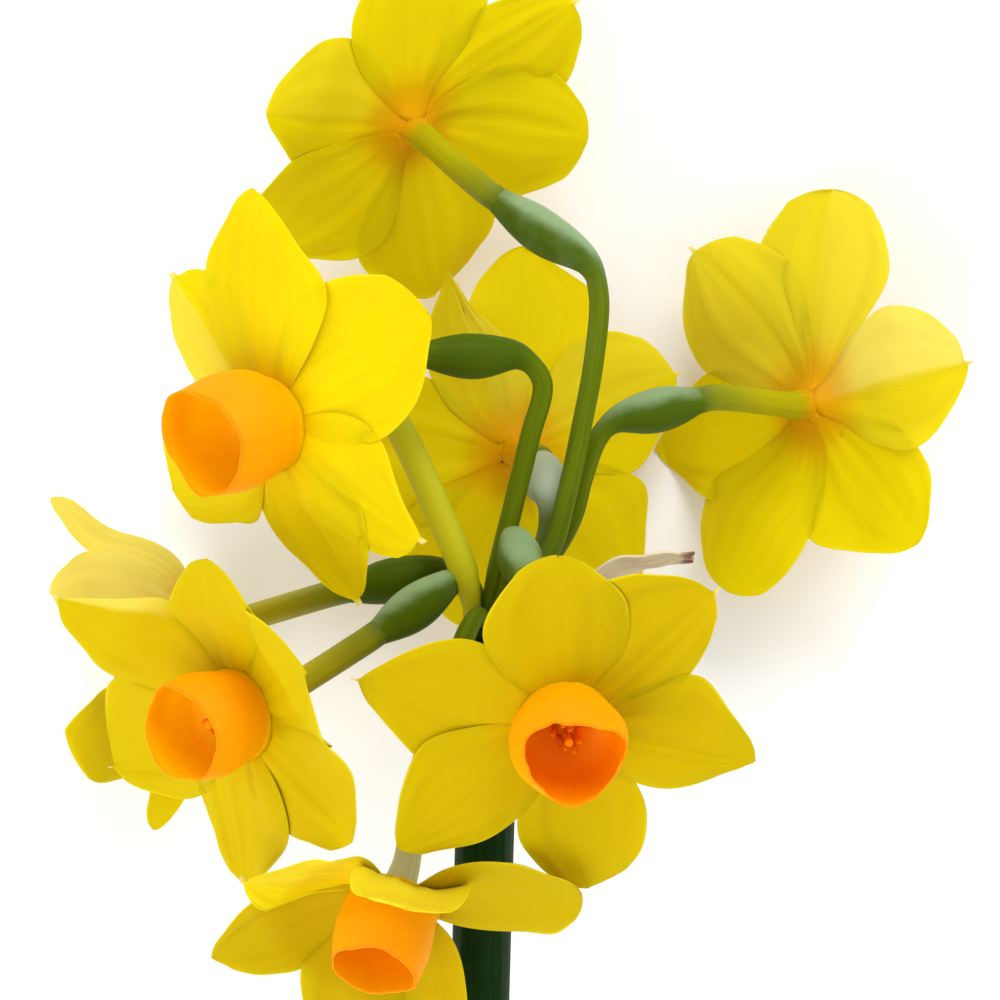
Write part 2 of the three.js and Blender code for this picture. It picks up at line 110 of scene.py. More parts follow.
# %% [markdown]
# ## Materials
# A petal is a thin sheet full of cells: it takes light in, spreads it and lets some through.
# That is what the subsurface part of the Principled shader does. The colour is built from
# attributes that each mesh carries, such as how far along the petal a point lies, so veins
# and tints follow the petal wherever it bends.

# %% Shader helpers


def linear(red, green, blue):
    def one(value):
        value = value / 255
        return value / 12.92 if value <= 0.04045 else ((value + 0.055) / 1.055) ** 2.4
    return (one(red), one(green), one(blue), 1.0)


SHADE = 0.84


def shade(red, green, blue):
    """A petal or leaf colour, a little darker than it looks under the bright studio light."""
    return tuple(SHADE * share for share in linear(red, green, blue)[:3]) + (1,)


class Nodes:
    """A node tree and short ways to fill it."""

    def __init__(self, tree):
        self.tree = tree

    def put(self, value, socket):
        if isinstance(value, bpy.types.NodeSocket):
            self.tree.links.new(value, socket)
        else:
            socket.default_value = value

    def add(self, kind, inputs=(), output=0, **values):
        """Add a node, fill its inputs with sockets or plain values, and give back one output."""
        node = self.tree.nodes.new(kind)
        for key, value in values.items():
            setattr(node, key, value)
        for key, value in dict(inputs).items():
            self.put(value, node.inputs[key])
        return node.outputs[output]

    def maths(self, operation, first, second=0.0, clamp=False):
        return self.add("ShaderNodeMath", {0: first, 1: second}, operation=operation, use_clamp=clamp)

    def times(self, first, second, clamp=False):
        return self.maths("MULTIPLY", first, second, clamp)

    def plus(self, first, second, clamp=False):
        return self.maths("ADD", first, second, clamp)


class Skin(Nodes):
    """A Principled material whose colour is painted in layers."""

    def __init__(self, name, rough, specular):
        self.material = bpy.data.materials.new(name)
        self.material.use_nodes = True
        super().__init__(self.material.node_tree)
        self.body = None
        self.shader = self.tree.nodes["Principled BSDF"]
        self.shader.inputs["Roughness"].default_value = rough
        self.shader.inputs["Specular IOR Level"].default_value = specular

    def mark(self, name):
        return self.add("ShaderNodeAttribute", output="Fac", attribute_name=name)

    def object_place(self):
        return self.add("ShaderNodeTexCoord", output="Object")

    def vector(self, x, y, z):
        return self.add("ShaderNodeCombineXYZ", {0: x, 1: y, 2: z})

    def ramp(self, value, low, high, most=1.0):
        """A soft step: 0 where the value is low, and most where it is high."""
        ends = {"Value": value, "From Min": low, "From Max": high, "To Max": most}
        return self.add("ShaderNodeMapRange", ends, "Result", interpolation_type="SMOOTHSTEP")

    def noise(self, place, scale, detail=3.0, rough=0.5):
        grain = {"Vector": place, "Scale": scale, "Detail": detail, "Roughness": rough}
        return self.add("ShaderNodeTexNoise", grain, "Fac")

    def stripes(self, count, scale, detail=3.0, rough=0.5, phase=0.0):
        """Noise drawn out into lines from base to tip of a petal, a cup or a sheet."""
        across = self.times(self.mark("across"), count)
        return self.noise(self.vector(across, self.mark("along"), phase), scale, detail, rough)

    def round_stripes(self, stretch, scale):
        """Noise drawn out into lines along a round stalk, with no seam where the turn closes."""
        turn = self.times(self.mark("around"), 2 * math.pi)
        along = self.times(self.mark("along"), stretch)
        return self.noise(self.vector(self.maths("COSINE", turn), self.maths("SINE", turn), along), scale)

    def blend(self, share, first, second):
        colours = {"Factor": share, "A": first, "B": second}
        return self.add("ShaderNodeMix", colours, "Result", data_type="RGBA")

    def paint(self, share, colour):
        """Lay a colour over the ones below it, in the given share."""
        self.body = self.blend(share, self.body, colour)

    def soft(self, weight, radius):
        self.shader.inputs["Subsurface Weight"].default_value = weight
        self.shader.inputs["Subsurface Radius"].default_value = radius
        self.shader.inputs["Subsurface Scale"].default_value = MM

    def bump(self, height, strength, distance=0.2 * MM):
        relief = {"Height": height, "Strength": strength, "Distance": distance}
        self.put(self.add("ShaderNodeBump", relief), self.shader.inputs["Normal"])

    def done(self):
        self.put(self.body, self.shader.inputs["Base Color"])
        return self.material


print("shader helpers ready")

# %% [markdown]
# ### Petals
# Daffodil petals (tepals) are lemon to golden yellow with soft lines from base to tip. They
# are deeper round the cup, where a painted glow on their backs stands for light through the
# cup. A painted highlight brightens the thin edge and the sides that face the light, a painted
# shade darkens florets that lie in shade, and they end in a tiny whitish point.

# %% Tepal skin


def tepal_skin():
    skin = Skin("tepal_skin", rough=0.6, specular=0.04)
    along, across, back = skin.mark("along"), skin.mark("across"), skin.mark("back")
    lines = skin.stripes(5.0, 1.5, 4.0, 0.6, skin.mark("phase"))
    fine = skin.stripes(26.0, 1.3, 2.0, 0.5, skin.mark("phase"))
    clouds = skin.noise(skin.object_place(), 90.0)
    skin.body = skin.blend(skin.ramp(lines, 0.3, 0.7), shade(243, 218, 0), shade(236, 209, 0))
    skin.paint(skin.ramp(clouds, 0.4, 0.75, 0.5), shade(222, 194, 0))
    skin.paint(skin.ramp(fine, 0.5, 0.8, 0.1), shade(205, 178, 0))
    skin.paint(skin.times(back, 0.5), shade(234, 212, 4))
    # Painted shade: whole florets that lie in shade are darkened towards a deeper gold.
    skin.paint(skin.mark("painted_shade"), shade(198, 171, 0))
    # Painted highlight: paler patches where a tepal's side faces the light.
    skin.paint(skin.mark("painted_highlight"), shade(242, 222, 104))
    # A deeper warm colour round the cup, strongest on the back: painted glow of light coming through the
    # cup.
    painted_glow = skin.times(skin.ramp(along, 0.36, 0.08), skin.plus(skin.times(back, 0.6), 0.3))
    skin.paint(skin.times(painted_glow, skin.mark("warm")), shade(238, 160, 0))
    # Painted highlight: a brighter yellow along the thin outer margins.
    edge = skin.ramp(skin.maths("ABSOLUTE", across), 0.94, 1.0)
    skin.paint(skin.times(edge, skin.ramp(along, 0.5, 0.75, 0.5)), shade(255, 228, 30))
    skin.paint(skin.mark("point"), shade(242, 222, 124))
    skin.soft(0.22, (1.4, 1.1, 0.2))
    skin.bump(skin.plus(lines, skin.times(fine, 0.5)), 0.2)
    return skin.done()


TEPAL_SKIN = tepal_skin()
print("made", TEPAL_SKIN.name)

# %% [markdown]
# ### Cups
# The cup (corona) is a warm orange, yellower at its foot and redder at its very rim. Inside it
# is a golden orange. In the cups that look towards the camera the inside is painted redder
# and darker down in the hollow, a painted shade, and lighter towards the rim. Faint lines
# run up its wall.

# %% Corona skin


def corona_skin():
    skin = Skin("corona_skin", rough=0.55, specular=0.07)
    up, inside = skin.mark("along"), skin.mark("inside")
    lines = skin.stripes(40.0, 1.5)
    clouds = skin.noise(skin.object_place(), 160.0)
    outer = skin.blend(skin.ramp(up, 0.0, 1.0), linear(255, 172, 0), linear(254, 152, 0))
    inner = skin.blend(skin.ramp(up, 0.2, 0.95), linear(255, 198, 0), linear(255, 204, 0))
    # Painted shade: redder and darker down in the hollow, lighter towards the rim.
    inner = skin.blend(skin.mark("hollow_shade"), inner, linear(252, 142, 0))
    inner = skin.blend(skin.ramp(up, 0.25, 0.95, 0.75), inner, linear(255, 174, 0))
    skin.body = skin.blend(inside, outer, inner)
    foot = skin.times(skin.ramp(up, 0.16, 0.0), skin.maths("SUBTRACT", 0.8, inside, clamp=True))
    skin.paint(foot, shade(246, 196, 0))
    skin.paint(skin.ramp(up, 0.95, 1.0, 0.7), linear(238, 112, 0))
    skin.paint(skin.ramp(clouds, 0.45, 0.75, 0.35), linear(252, 156, 0))
    skin.paint(skin.ramp(lines, 0.5, 0.8, 0.2), linear(248, 146, 0))
    skin.soft(0.4, (1.2, 0.7, 0.1))
    skin.bump(lines, 0.3)
    return skin.done()


CORONA_SKIN = corona_skin()
print("made", CORONA_SKIN.name)

# %% [markdown]
# ### Green parts
# Stem, pedicels and ovaries are smooth and slightly waxy. Fine lines run along them, and a
# pale bluish bloom lies on the ovaries in patches, as on a grape. It is laid thickest on the
# side that faces the light, so part of it is a painted sheen.

# %% Stalk, scape and tube skins


def green_skin(name, light, dark, line_scale):
    skin = Skin(name, rough=0.5, specular=0.06)
    ovary, dust_and_sheen = skin.mark("ovary"), skin.mark("bloom_and_sheen")
    lines = skin.round_stripes(0.35, line_scale)
    patches = skin.noise(skin.object_place(), 210.0, 4.0, 0.6)
    skin.body = skin.blend(skin.ramp(lines, 0.35, 0.7), light, dark)
    skin.paint(skin.mark("ripe"), shade(206, 202, 30))
    skin.paint(skin.times(ovary, 0.85), shade(72, 96, 6))
    # Painted sheen: the bloom lies thickest on the side that faces the light.
    normal = skin.add("ShaderNodeNewGeometry", output="Normal")
    upward = skin.add("ShaderNodeSeparateXYZ", {0: normal}, "Y")
    lit_side = skin.plus(skin.ramp(upward, -0.1, 1.0), patches)
    lit_side = skin.plus(lit_side, skin.times(skin.plus(dust_and_sheen, -0.9), 0.9))
    bloom_and_sheen = skin.times(skin.ramp(lit_side, 0.62, 1.5, 0.9), skin.plus(skin.times(ovary, 0.85), 0.12))
    bloom_and_sheen = skin.times(bloom_and_sheen, skin.times(dust_and_sheen, 1.0, clamp=True))
    frost = skin.times(skin.plus(dust_and_sheen, -1.3, clamp=True), 1.8)
    skin.paint(bloom_and_sheen, skin.blend(frost, shade(154, 180, 132), shade(206, 216, 196)))
    skin.soft(0.15, (0.8, 1.2, 0.4))
    skin.bump(lines, 0.15)
    return skin.done()


STALK_SKIN = green_skin("stalk_skin", shade(106, 122, 3), shade(88, 110, 1), 4.0)
# Painted shade: the scape's green is darker than its own colour, as it lies in the shade of the flowers.
SCAPE_SHADED_SKIN = green_skin("scape_skin", shade(27, 58, 18), shade(19, 46, 12), 10.0)
print("made", STALK_SKIN.name, "and", SCAPE_SHADED_SKIN.name)


def tube_skin():
    skin = Skin("tube_skin", rough=0.5, specular=0.15)
    along, painted_glow = skin.mark("along"), skin.mark("painted_glow")
    lines = skin.round_stripes(0.3, 5.0)
    skin.body = skin.blend(skin.ramp(along, 0.0, 0.6), shade(134, 140, 2), shade(186, 176, 4))
    skin.paint(skin.ramp(along, 0.12, 0.0), shade(92, 112, 16))
    # Painted glow: the flare turns orange for light coming through the cup, and a glow over 1 carries it
    # further down the tube.
    further = skin.plus(painted_glow, -1.0, clamp=True)
    warm = skin.plus(along, skin.times(further, 0.3))
    skin.paint(skin.times(skin.ramp(warm, 0.84, 1.0), painted_glow), shade(236, 168, 0))
    skin.paint(skin.mark("fade"), shade(216, 212, 168))
    skin.paint(skin.ramp(lines, 0.45, 0.75, 0.35), shade(132, 138, 0))
    skin.soft(0.25, (1.4, 1.2, 0.3))
    skin.bump(lines, 0.25)
    return skin.done()


TUBE_SKIN = tube_skin()
print("made", TUBE_SKIN.name)

# %% [markdown]
# ### Dry and dusty parts
# The spathe is the sheath the flowers broke out of. It dries to a pale brown paper with fibres
# along it and dark spots near its tip. Anthers are dusted with orange pollen.

# %% Spathe and stamen skins


def spathe_skin():
    skin = Skin("spathe_skin", rough=0.75, specular=0.2)
    fibres = skin.stripes(16.0, 2.0, 5.0, 0.65)
    spots = skin.noise(skin.object_place(), 500.0, 2.0)
    skin.body = skin.blend(skin.ramp(fibres, 0.3, 0.7), shade(252, 238, 204), shade(224, 204, 166))
    tip = skin.times(skin.ramp(skin.mark("along"), 0.84, 1.0), skin.ramp(spots, 0.36, 0.6))
    skin.paint(tip, shade(140, 92, 56))
    skin.soft(0.15, (1.0, 0.8, 0.5))
    skin.bump(fibres, 0.6, 0.4 * MM)
    return skin.done()


def stamen_skin():
    skin = Skin("stamen_skin", rough=0.85, specular=0.1)
    pollen = skin.noise(skin.object_place(), 2600.0, 2.0)
    skin.body = skin.blend(skin.ramp(pollen, 0.35, 0.65), linear(236, 120, 0), linear(255, 160, 6))
    skin.paint(skin.mark("style"), linear(248, 146, 0))
    skin.bump(pollen, 0.7)
    return skin.done()


SPATHE_SKIN = spathe_skin()
STAMEN_SKIN = stamen_skin()
print("made", SPATHE_SKIN.name, "and", STAMEN_SKIN.name)

# %% [markdown]
# ## The florets in numbers
# The same numbers as in the frame, in millimetres and degrees. `throat` is where a floret's
# tepals meet and `facing` is the way it looks. `cup` holds the cup's height and its radius
# at the body and at the rim. The ovary lies between `tube_end` and `ovary_base`. From there
# the pedicel runs over its `bends` to its `root`, a direction round the top of the scape, or
# `None` for the middle of it.
#
# A tepal is its direction round the facing axis, its rise, its length, its forward bend, and
# its half width at four stations from base to tip: first on its clockwise side, then on the
# other, where that one differs. Most tepals are a little lopsided, and that keeps the flower
# from looking like a stamped star.
#
# The other keys say what is particular, and `USUAL` holds those that a floret leaves out:
# - `outer_first`: the first, third and fifth tepal are the outer ones
# - `points` lists tepals with a whitish point, `blunt` says how round a tip is
# - `folds`, `twists`, `swerves`: a tepal is folded along its middle, turned, swung aside
# - `apart` lists tepals that keep their own rise beside their neighbours
# - `painted_shade` is painted shade that darkens the tepals of florets lying in shade, `bright` spares one
#   of them, `warm` sets how strongly the painted glow of light through the cup reddens their bases
# - `painted_highlight` is painted highlight that pales the two sides of a tepal where they face the light,
#   `rim_highlights` only its clockwise margin
# - `hollow_shade` is painted shade that makes the inside of the cup redder and darker, `painted_glow` the
#   painted glow of light through the cup at the flare of the tube, `fade` bleaches it
# - `bloom_and_sheen` is the bloom on the ovary, laid thickest as a painted sheen on the side that faces
#   the light, `ripe` yellows the pedicel, `stout` thickens it
# - `neck` and `straight` shape the tube's bend, `rise` the way the pedicel leaves the scape

# %% Floret data
USUAL = dict(outer_first=True, points=(), apart=(), blunt={}, folds={}, twists={}, swerves={},
             painted_shade=0.0, bright={}, warm=1.0, painted_highlight={}, rim_highlights={}, hollow_shade=0.0, painted_glow=1.0, fade=0.0,
             ripe=0.0, stout=1.0, neck=4.5, straight=1.6, rise=2.0)
FLORETS = {
    "top": dict(
        throat=[-7.8, 54.2, -14], facing=[-0.51, 0.44, -0.74], cup=[8.8, 6.1, 5.9],
        tube_end=[2.2, 45.2, -1.4], ovary_base=[12, 38.2, 0.6],
        bends=[[13, 35, 0.9], [12.5, 28, 1.1], [11.1, 20.5, 1.3], [9.7, 14, 1.4], [7.8, 7.5, 1.4]],
        root=15, points=(1, 4), painted_highlight={3: (0.05, 0)}, bloom_and_sheen=1.25,
        tepals=[[3, -12, 21.5, -6, [5.5, 9.4, 7.2, 5], [6, 8, 6.6, 4]],
                [48, -9, 23.4, -8, [6.5, 9.4, 8, 5.2], [5, 6.2, 5.2, 3]],
                [104, -4, 22.5, -8, [6.5, 8.8, 7, 4], [6.4, 8, 6.2, 3.5]],
                [175, -10, 21.2, -10, [7.2, 9, 7.4, 4], [5, 6.2, 3.9, 1.8]],
                [-122, 10, 21, 8, [6.5, 10.4, 8.6, 5], [6, 8.4, 7, 3.8]],
                [-64, 1, 22.8, 0, [6, 8, 6.6, 3.6], [6, 8.6, 7.8, 5.6]]]),
    "upleft": dict(
        painted_shade=0.14,
        throat=[-21.8, 20.9, 14], facing=[-0.66, -0.2, 0.72], cup=[9, 6.1, 5.4],
        tube_end=[-5.6, 28.4, 6], ovary_base=[4.6, 28.2, 3],
        bends=[[6.9, 25.6, 2.6], [5.6, 19.6, 1.8], [3.9, 12.6, 0.4], [2.4, 6.6, -0.3]],
        root=None, points=(2, 4, 5), painted_highlight={2: (0, 0.3)}, bloom_and_sheen=0.15,
        tepals=[[30, -22, 21.4, -12, [7, 9, 6.2, 2.8], [6.5, 8.4, 7.5, 5.7]],
                [88, -4, 24.8, -6, [7.2, 8, 5.2, 2.5], [6, 7.4, 5.4, 3]],
                [128, -3, 20.6, 0, [4.5, 6.5, 5.6, 3.2], [5, 5.6, 4.4, 2.6]],
                [-159, -8, 20.4, 0, [5, 6.4, 5.6, 4.2], [8, 7, 5.6, 4.2]],
                [-74, -9, 21.3, -6, [5.6, 5.6, 3.4, 1.6], [6.4, 7.8, 5.8, 2.8]],
                [-36, -5, 22.4, -8, [5.5, 5.8, 5, 3.6], [6.6, 6.8, 4.6, 1.9]]]),
    "middle": dict(
        painted_shade=0.1, painted_glow=2, neck=2.8, straight=0.5,
        throat=[3.8, 18.2, -23.6], facing=[-0.22, 0.02, -0.97], cup=[8.4, 6, 5.8],
        tube_end=[6.9, 17.1, -9], ovary_base=[7.6, 12.9, -1.8],
        bends=[[7.5, 9.4, -1.3], [6.2, 6.2, -1.2], [4.4, 3.6, -1.1]],
        root=330, points=(0,), painted_highlight={2: (0.16, 0.05), 0: (0, 0.08)}, bloom_and_sheen=1.7,
        tepals=[[25, 2, 21.6, -8, [6, 7.8, 5.2, 2.4], [6, 8.2, 7.3, 5.2]],
                [86, 4, 23.2, -8, [6, 10, 9, 3.6], [5, 6.6, 5.2, 3]],
                [112, -7, 21.8, 0, [5, 3.6, 1.2, 0.5], [5, 5.6, 3.8, 1.2]],
                [172, 0, 20, 0, [5, 7, 5.4, 3], [8.5, 10, 7.6, 4.2]],
                [-104, 10, 20.4, 6, [8.6, 10, 7, 3.6], [6, 7.6, 6, 3.2]],
                [-50, 2, 21.6, 0, [6, 7.6, 6, 3.4], [7, 9.4, 5.9, 3.2]]]),
    "right": dict(
        throat=[37.4, 23.5, -21], facing=[0.66, 0.02, -0.75], cup=[8.8, 6.1, 5.9],
        tube_end=[24, 23.7, -7.6], ovary_base=[14.8, 21.4, -3.4],
        bends=[[13, 19.6, -2.8], [11.4, 15.4, -2.4], [10.2, 11, -2.6], [7.8, 6.8, -4], [4.4, 3.4, -3.8]],
        root=285, points=(0, 2), folds={0: 0.3, 1: 0.14}, bloom_and_sheen=0.9,
        painted_highlight={0: (0.05, 0.8), 1: (0.2, 0.1), 2: (0.1, 0.15)},
        tepals=[[12, 3, 21.5, 8, [6, 7.6, 5, 2.3], [6.5, 8.4, 6.3, 3.6]],
                [86, 4, 24, 4, [5.5, 8.6, 7, 4.9], [6, 8, 7.6, 5.6]],
                [126, -14, 22.8, -8, [5, 7, 6.1, 4.3], [7, 10, 6.6, 3]],
                [-167, -2, 23, -6, [5.5, 7, 5, 2.2], [6, 8, 5.7, 2.6]],
                [-113, -12, 23, -6, [5.5, 10, 8.8, 5.4], [5, 6, 5.6, 4]],
                [-50, 5, 20, 6, [7, 9.3, 6.4, 3.6], [6, 7.4, 5.7, 3.3]]]),
    "left": dict(
        painted_shade=0.7, painted_glow=0.6,
        throat=[-25.6, -9.8, 11], facing=[-0.61, -0.19, 0.77], cup=[7.6, 5.7, 5],
        tube_end=[-10.6, -1.2, 5.6], ovary_base=[-2.8, 4.2, 2.2], bends=[[-1.2, 4.6, 0.4]],
        root=195, outer_first=False, points=(2, 3), rim_highlights={2: 0.6}, twists={0: 8}, bloom_and_sheen=1, hollow_shade=0.1,
        tepals=[[20, 24, 21, 8, [6.2, 7.4, 6, 2.9], [6.4, 9.2, 7.6, 4.2]],
                [79, 18, 19.2, 6, [5.5, 8, 5.6, 2.8], [5, 6.6, 4.6, 2.6]],
                [137, 22, 23, 8, [5, 6.4, 3.4, 1.4], [5, 5.9, 3.8, 2.2]],
                [-162, -3, 21.2, 0, [6, 8.4, 6.4, 4], [6, 6.2, 4, 2.2]],
                [-102, -9, 20.2, 0, [5, 4.6, 3.6, 2.2], [6.5, 7.6, 4.6, 2]],
                [-43, 1, 19.3, 8, [6, 6.4, 4, 2.6], [7.3, 8.7, 7.2, 3.8]]]),
    "front": dict(
        painted_shade=0.92, painted_glow=0.5,
        throat=[9.1, -10.6, 18], facing=[0.1, -0.38, 0.92], cup=[8.6, 6.1, 5.2],
        tube_end=[5.1, 4.6, 12.8], ovary_base=[3.8, 8.6, 3.6], bends=[[3.6, 5, 2.8]],
        root=60, outer_first=False, points=(1, 3), bloom_and_sheen=0.85, hollow_shade=0.8,
        tepals=[[-13, -3, 21, -6, [4.4, 4.8, 3.2, 1.5], [6.5, 8.6, 5.3, 2.8]],
                [45, 0, 21.8, -6, [5, 5.1, 3.9, 2.1], [6.5, 9.8, 8.2, 4.8]],
                [95, 3, 19.7, -6, [6, 7.2, 6, 3.2], [6.5, 8.1, 6.4, 4.1]],
                [167, -1, 23, 6, [6, 6.9, 4.4, 1.7], [6, 7.3, 4.4, 2.3]],
                [-141, 2, 21.8, -6, [6, 7.8, 5.5, 2.7], [5, 5.3, 3.8, 2.3]],
                [-79, -6, 20.4, -8, [5.5, 6.6, 5, 3.2], [6, 7.1, 5.9, 4.2]]]),
    "low": dict(
        painted_shade=1, painted_glow=0.1, fade=0.75,
        throat=[-8.8, -29.7, 6], facing=[-0.25, -0.8, 0.54], cup=[8.1, 5.3, 4.7],
        tube_end=[-5.4, -14.4, 1.6], ovary_base=[-2.6, -4.8, 5.4],
        bends=[[-1.7, -2.4, 6.2], [-0.9, -0.6, 6], [-0.1, 0.6, 4.8]],
        root=105, rise=0.8, points=(2,), painted_highlight={1: (0.1, 0.1), 2: (0.1, 0)}, bloom_and_sheen=0.5,
        hollow_shade=0.7, apart=(0,), bright={1: 1, 2: 0.9}, warm=0.2,
        tepals=[[-9, -9, 20.2, 0, [4.6, 6.4, 6.2, 4.2], [7, 7.4, 5.6, 3.6]],
                [54, 30, 15, 20, [4.8, 6.2, 5.2, 3]],
                [133, 20, 18, 8, [6, 9, 8, 4.4], [5, 6.8, 5.2, 2.8]],
                [180, 22, 21, 8, [4.6, 6.8, 4.6, 2.2], [5.5, 6.2, 4.5, 2.7]],
                [-126, 30, 20, 8, [5, 6.4, 5, 3], [5.5, 7.4, 5.8, 3.2]],
                [-82, 22, 21, 8, [5.5, 7.4, 5.8, 3.2], [3.4, 3.6, 3, 2]]]),
    "farleft": dict(
        painted_shade=0.6, painted_glow=0.6,
        throat=[-31.4, -1.5, -13.4], facing=[-0.93, -0.2, -0.3], cup=[7.8, 5.8, 5.4],
        tube_end=[-14, 3.2, -4.6], ovary_base=[-4.2, 5.4, -3.6], bends=[[-1.8, 4.8, -3.4]],
        root=240, twists={2: 32, 5: 66}, bloom_and_sheen=0.2,
        swerves={5: -3}, blunt={2: 0.55, 5: 0.4},
        painted_highlight={1: (0.6, 0.6), 2: (0.75, 0.75), 3: (0.95, 0.8)},
        tepals=[[-5, 18, 23, 6, [5.5, 7.2, 5.6, 3]],
                [42, 37, 19.4, 8, [4.5, 5.6, 4.4, 2.4]],
                [97, 36, 21.8, 8, [2.2, 2.4, 2.4, 1.6], [2.3, 2.6, 2.2, 1.5]],
                [162, 22, 21, 8, [5, 6.8, 5.4, 3]],
                [-124, 34, 20.4, 8, [5.4, 8.2, 9, 8], [5, 6.6, 5.2, 2.8]],
                [-70, 26, 22.6, 8, [4.6, 3.9, 2.2, 1.5]]]),
}
FLORETS = {name: {**USUAL, **floret} for name, floret in FLORETS.items()}
BUD = dict(USUAL, tube_end=[-15.6, 29.6, -7.6], ovary_base=[-10.6, 24, -5.4],
           bends=[[-8, 19.8, -3.2], [-4.1, 11.4, 0.8], [-1.6, 5.6, 2.8]], root=150,
           tip=[-29.4, 27.5, -9.5], stout=1.42, ripe=0.9, bloom_and_sheen=0.7)
print(len(FLORETS), "florets and a bud")

# %% [markdown]
# ## Meshes from grids
# Every petal, cup and sheet here is a grid of points. One function turns a grid into a thin
# closed body with two faces and a margin, and one turns points and faces into a piece that
# rides on the flower and takes the place of a node of the frame.

# %% Grid helpers


def grid_faces(rows, columns, offset=0, closed=False):
    last = columns if closed else columns - 1
    i, j = np.meshgrid(np.arange(rows - 1), np.arange(last), indexing="ij")
    k = (j + 1) % columns
    here, after = i * columns, (i + 1) * columns
    return np.stack([here + j, after + j, after + k, here + k], -1).reshape(-1, 4) + offset


def ring_faces(rows, columns):
    """The faces of a body made of closed rings of points, with a lid on each end."""
    last = (rows - 1) * columns
    lids = [tuple(range(columns)), tuple(range(last, last + columns))]
    return [tuple(face) for face in grid_faces(rows, columns, closed=True)] + lids


def thin_body(points, thickness):
    """Two faces on either side of an open grid of points, and the margin between them."""
    rows, columns = points.shape[:2]
    normal = unit(np.cross(np.gradient(points, axis=0), np.gradient(points, axis=1)))
    shift = normal * (np.broadcast_to(thickness, (rows, columns)) / 2)[..., None]
    count = rows * columns
    vertices = np.concatenate([points + shift, points - shift]).reshape(-1, 3)
    front = grid_faces(rows, columns)
    back = grid_faces(rows, columns, count)[:, ::-1]
    index = np.arange(count).reshape(rows, columns)
    rim = np.concatenate([index[0, :], index[1:, -1], index[-1, -2::-1], index[-2:0:-1, 0]])
    after = np.roll(rim, -1)
    margin = np.stack([rim, after, after + count, rim + count], -1)
    return vertices, np.concatenate([front, back, margin])


def add_marks(mesh, marks):
    """Write marks on the points of a mesh. A single number stands for all of its points."""
    for key, values in marks.items():
        values = np.asarray(values, np.float32).ravel()
        layer = mesh.attributes.new(key, "FLOAT", "POINT")
        layer.data.foreach_set("value", np.array(np.broadcast_to(values, len(mesh.vertices))))


def mesh_piece(name, vertices, faces, marks, material, node):
    mesh = bpy.data.meshes.new(name)
    mesh.from_pydata(placed(vertices).tolist(), [], [tuple(face) for face in faces])
    add_marks(mesh, marks)
    shell = bmesh.new()
    shell.from_mesh(mesh)
    bmesh.ops.recalc_face_normals(shell, faces=shell.faces)
    shell.to_mesh(mesh)
    shell.free()
    dressed(name, mesh, material, node)


def dressed(name, mesh, material, node):
    """Show a mesh as a smooth piece that rides on the flower and replaces a node of the frame."""
    mesh.materials.clear()
    mesh.materials.append(material)
    mesh.polygons.foreach_set("use_smooth", [True] * len(mesh.polygons))
    piece = new_object(name, mesh)
    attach(piece, "root")
    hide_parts(node)
    print(name, len(mesh.polygons), "faces")


print("grid helpers ready")

# %% [markdown]
# ## Tepals
# A tepal starts narrow under the cup, is widest past its middle and ends in a small point.
# It follows the frame's blade, and gains what the blade lacks: a groove along the middle,
# soft pleats beside it, wavy margins, and a thin edge. Neighbours share one smooth surface
# where they overlap, so they lie on each other and don't cut through.

# %% Tepal shape
ROOT_REACH = 1.5
ROOT_WIDTH = 1.6
STATIONS = (0.35, 0.6, 0.8, 0.93)
TEPAL_BEND = (0.18, 0.7)
EDGE_LIFT = 0.05
LAYER_OFFSET = 0.17
FUNNEL = 2.2
FUNNEL_REACH = 1.2
BODY_END = 0.965
SPIKE_WIDTH = 0.25
TIP_WIDTH = 0.12
NEIGHBOUR_SPREAD = 26.0
TEPAL_THICKNESS = 0.28
TEPAL_ROWS = 64
TEPAL_COLUMNS = 37


def axes_of(facing):
    out = unit(facing)
    up = unit(np.array([0, 1, 0]) - out * out[1])
    right = np.cross(up, out)
    return (-right if right[0] < 0 else right), up, out


def curve_through(xs, ys, x):
    """A smooth curve through the knots xs, ys, read at x."""
    xs, ys = np.array(xs, float), np.array(ys, float)
    slope = np.gradient(ys, xs)
    k = np.clip(np.searchsorted(xs, x) - 1, 0, len(xs) - 2)
    step = xs[k + 1] - xs[k]
    t = np.clip((x - xs[k]) / step, 0, 1)
    return ((1 + 2 * t) * (1 - t) ** 2 * ys[k] + t * (1 - t) ** 2 * step * slope[k]
            + t * t * (3 - 2 * t) * ys[k + 1] - t * t * (1 - t) * step * slope[k + 1])


def half_width(s, root, widths, pointed, blunt):
    """The half width of one side of a tepal, in millimetres, at the share s of its length."""
    end = BODY_END if pointed else 1.0
    t = np.minimum(s / end, 1)
    inner = curve_through([root, *STATIONS], [ROOT_WIDTH, *widths], np.minimum(t, STATIONS[-1]))
    blunt = blunt or np.clip(1.15 - 0.2 * widths[-1], 0.45, 1)
    half = np.where(t < STATIONS[-1], inner, widths[-1] * ((1 - t) / (1 - STATIONS[-1])) ** blunt)
    spike = SPIKE_WIDTH * (1 - 0.75 * smoothstep(end - 0.02, 1.0, s)) if pointed else TIP_WIDTH
    return np.maximum(half, spike)


def shared_rise(floret, angle):
    """The rise of the petal ring in the direction angle, smooth between the tepals."""
    turns, rises = np.array([numbers[:2] for numbers in floret["tepals"]], float).T
    weight = nearness(np.asarray(angle)[..., None], turns, NEIGHBOUR_SPREAD)
    return (weight * rises).sum(-1) / weight.sum(-1)


